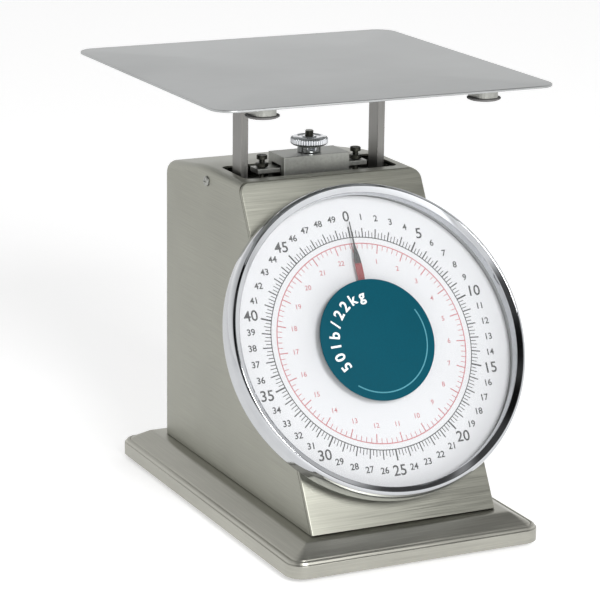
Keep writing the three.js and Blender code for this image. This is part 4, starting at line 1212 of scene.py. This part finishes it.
def direction(azimuth, elevation):
    """From the object towards a viewer: azimuth 0 stands in front, at -Y."""
    return Vector((math.sin(azimuth) * math.cos(elevation), -math.cos(azimuth) * math.cos(elevation),
                   math.sin(elevation)))


def make_camera():
    """A long lens, aimed near the scale's middle and rolled a little."""
    back = direction(VIEW_AZIMUTH, VIEW_ELEVATION)
    right = Vector((math.cos(VIEW_AZIMUTH), math.sin(VIEW_AZIMUTH), 0))
    up = back.cross(right)
    turned_right = right * math.cos(VIEW_ROLL) + up * math.sin(VIEW_ROLL)
    turned_up = back.cross(turned_right)
    lens = bpy.data.cameras.new("view")
    lens.lens = VIEW_LENS
    lens.clip_end = 50
    camera = bpy.data.objects.new("view", lens)
    camera.matrix_world = Matrix.Translation(VIEW_AIM + back * VIEW_DISTANCE) @ Matrix(
        (turned_right, turned_up, back)).transposed().to_4x4()
    bpy.context.scene.collection.objects.link(camera)
    bpy.context.scene.camera = camera


SOFTBOX_AIM = Vector((0, 0, 120 * MM))


def softbox(name, azimuth, elevation, distance, size, power):
    """A round lamp of size metres across, seen from the object at two angles in degrees."""
    light = bpy.data.lights.new(name, "AREA")
    light.shape = "DISK"
    light.size = size
    light.energy = power
    holder = bpy.data.objects.new(name, light)
    towards = direction(math.radians(azimuth), math.radians(elevation))
    holder.location = SOFTBOX_AIM + towards * distance
    holder.rotation_euler = towards.to_track_quat("Z", "Y").to_euler()
    bpy.context.scene.collection.objects.link(holder)


def make_floor():
    """A white light table, flat out to 6 m."""
    span = np.linspace(-6, 6, 13)
    x, y = np.meshgrid(span, span, indexing="ij")
    mesh = mesh_of_grid("floor", np.stack([x, y, np.zeros_like(x)], -1))
    material = worked_surface("matt_white_paper_sweep", linear("#F7F7F7"), metallic=0.0, roughness=0.9,
                              grain=400 * MM, patch=40000 * MM, tones=(0.995, 1.0), gloss=0.02,
                              height=0.001 * MM, Emission_Color=(1, 1, 1, 1), Emission_Strength=0.46)
    floor = bpy.data.objects.new("floor", mesh)
    bpy.context.scene.collection.objects.link(floor)
    mesh.materials.append(material)


WORLD_BANDS = ((0.0, 1.2), (0.26, 1.1), (0.5, 0.75), (1.0, 0.8))    # (sine of the height, level)
DARK_ZONES = (((26, 43), 0.93, 0.76),       # what the lens mirrors, so the dial stays crisp
              ((-44, 30), 0.97, 0.90),      # from here on, what the right and the foot of the bezel mirror
              ((-50, 52), 0.97, 0.90),
              ((-40, 76), 0.97, 0.90),
              ((113, 63), 0.985, 0.93))
DARKEST = 0.1


def make_world():
    """A room with bright walls and a dimmer ceiling. Each dark zone is a middle, and the cosines
    of the angles from it where the dark starts to lift and where it ends."""
    world = bpy.data.worlds.new("studio")
    bpy.context.scene.world = world
    world.use_nodes = True
    tree = world.node_tree
    background = next(n for n in tree.nodes if n.type == "BACKGROUND")
    view = add_node(tree, "ShaderNodeTexCoord").outputs["Generated"]
    height = add_node(tree, "ShaderNodeSeparateXYZ", Vector=view).outputs["Z"]
    bands = add_node(tree, "ShaderNodeValToRGB", Fac=height)
    stops = bands.color_ramp.elements
    for position, _ in WORLD_BANDS[1:-1]:
        stops.new(position)
    for stop, (position, level) in zip(stops, WORLD_BANDS):
        stop.position = position
        stop.color = (level, level, level, 1)
    light = bands.outputs["Color"]
    for middle_at, dark_to, light_from in DARK_ZONES:
        towards = direction(*(math.radians(v) for v in middle_at))
        near = add_node(tree, "ShaderNodeVectorMath", {"operation": "DOT_PRODUCT"}, in_0=view, in_1=towards)
        fade = add_node(tree, "ShaderNodeMapRange", {"interpolation_type": "SMOOTHSTEP"},
                        Value=near.outputs["Value"], From_Min=light_from, From_Max=dark_to, To_Min=1.0,
                        To_Max=DARKEST)
        dimmed = add_node(tree, "ShaderNodeMix", {"data_type": "RGBA", "blend_type": "MULTIPLY"}, in_0=1.0,
                          in_6=light, in_7=fade.outputs["Result"])
        light = dimmed.outputs[2]
    tree.links.new(light, background.inputs["Color"])


class MakeStage(Operator):
    """Camera, floor and studio light"""
    bl_idname = "dialscale.stage"
    bl_label = "Stage"

    def execute(self, context):
        make_camera()
        make_floor()
        make_world()
        softbox("key", azimuth=-2, elevation=27, distance=2.6, size=0.9, power=50)
        bpy.context.scene.view_settings.view_transform = "Standard"
        bpy.context.scene.view_settings.look = "None"
        return {"FINISHED"}


STEPS = (MakeStage, MakePan, MakeBody, MakePlatform, MakeFeet, MakeBezel, MakeDial, MakeLens, MakePointer,
         MakeZeroing, MakeScrews, MakeSprings, FinishInner)


class ScalePanel(Panel):
    """The scale's settings and steps"""
    bl_idname = "VIEW3D_PT_dial_scale"
    bl_label = "Dial platform scale"
    bl_space_type = "VIEW_3D"
    bl_region_type = "UI"
    bl_category = "Scale"

    def draw(self, context):
        for group in (context.scene.scale_sizes, context.scene.scale_colours):
            box = self.layout.box()
            for key in group.__annotations__:
                box.prop(group, key)
        for step in STEPS:
            self.layout.operator(step.bl_idname)


CLASSES = (ScaleSizes, ScaleColours, *STEPS, ScalePanel)


def register():
    for cls in CLASSES:
        bpy.utils.register_class(cls)
    bpy.types.Scene.scale_sizes = PointerProperty(type=ScaleSizes)
    bpy.types.Scene.scale_colours = PointerProperty(type=ScaleColours)


def unregister():
    del bpy.types.Scene.scale_colours
    del bpy.types.Scene.scale_sizes
    for cls in reversed(CLASSES):
        bpy.utils.unregister_class(cls)


def main():
    register()
    for step in STEPS:
        group, name = step.bl_idname.split(".")
        getattr(getattr(bpy.ops, group), name)()


if __name__ == "__main__":
    main()
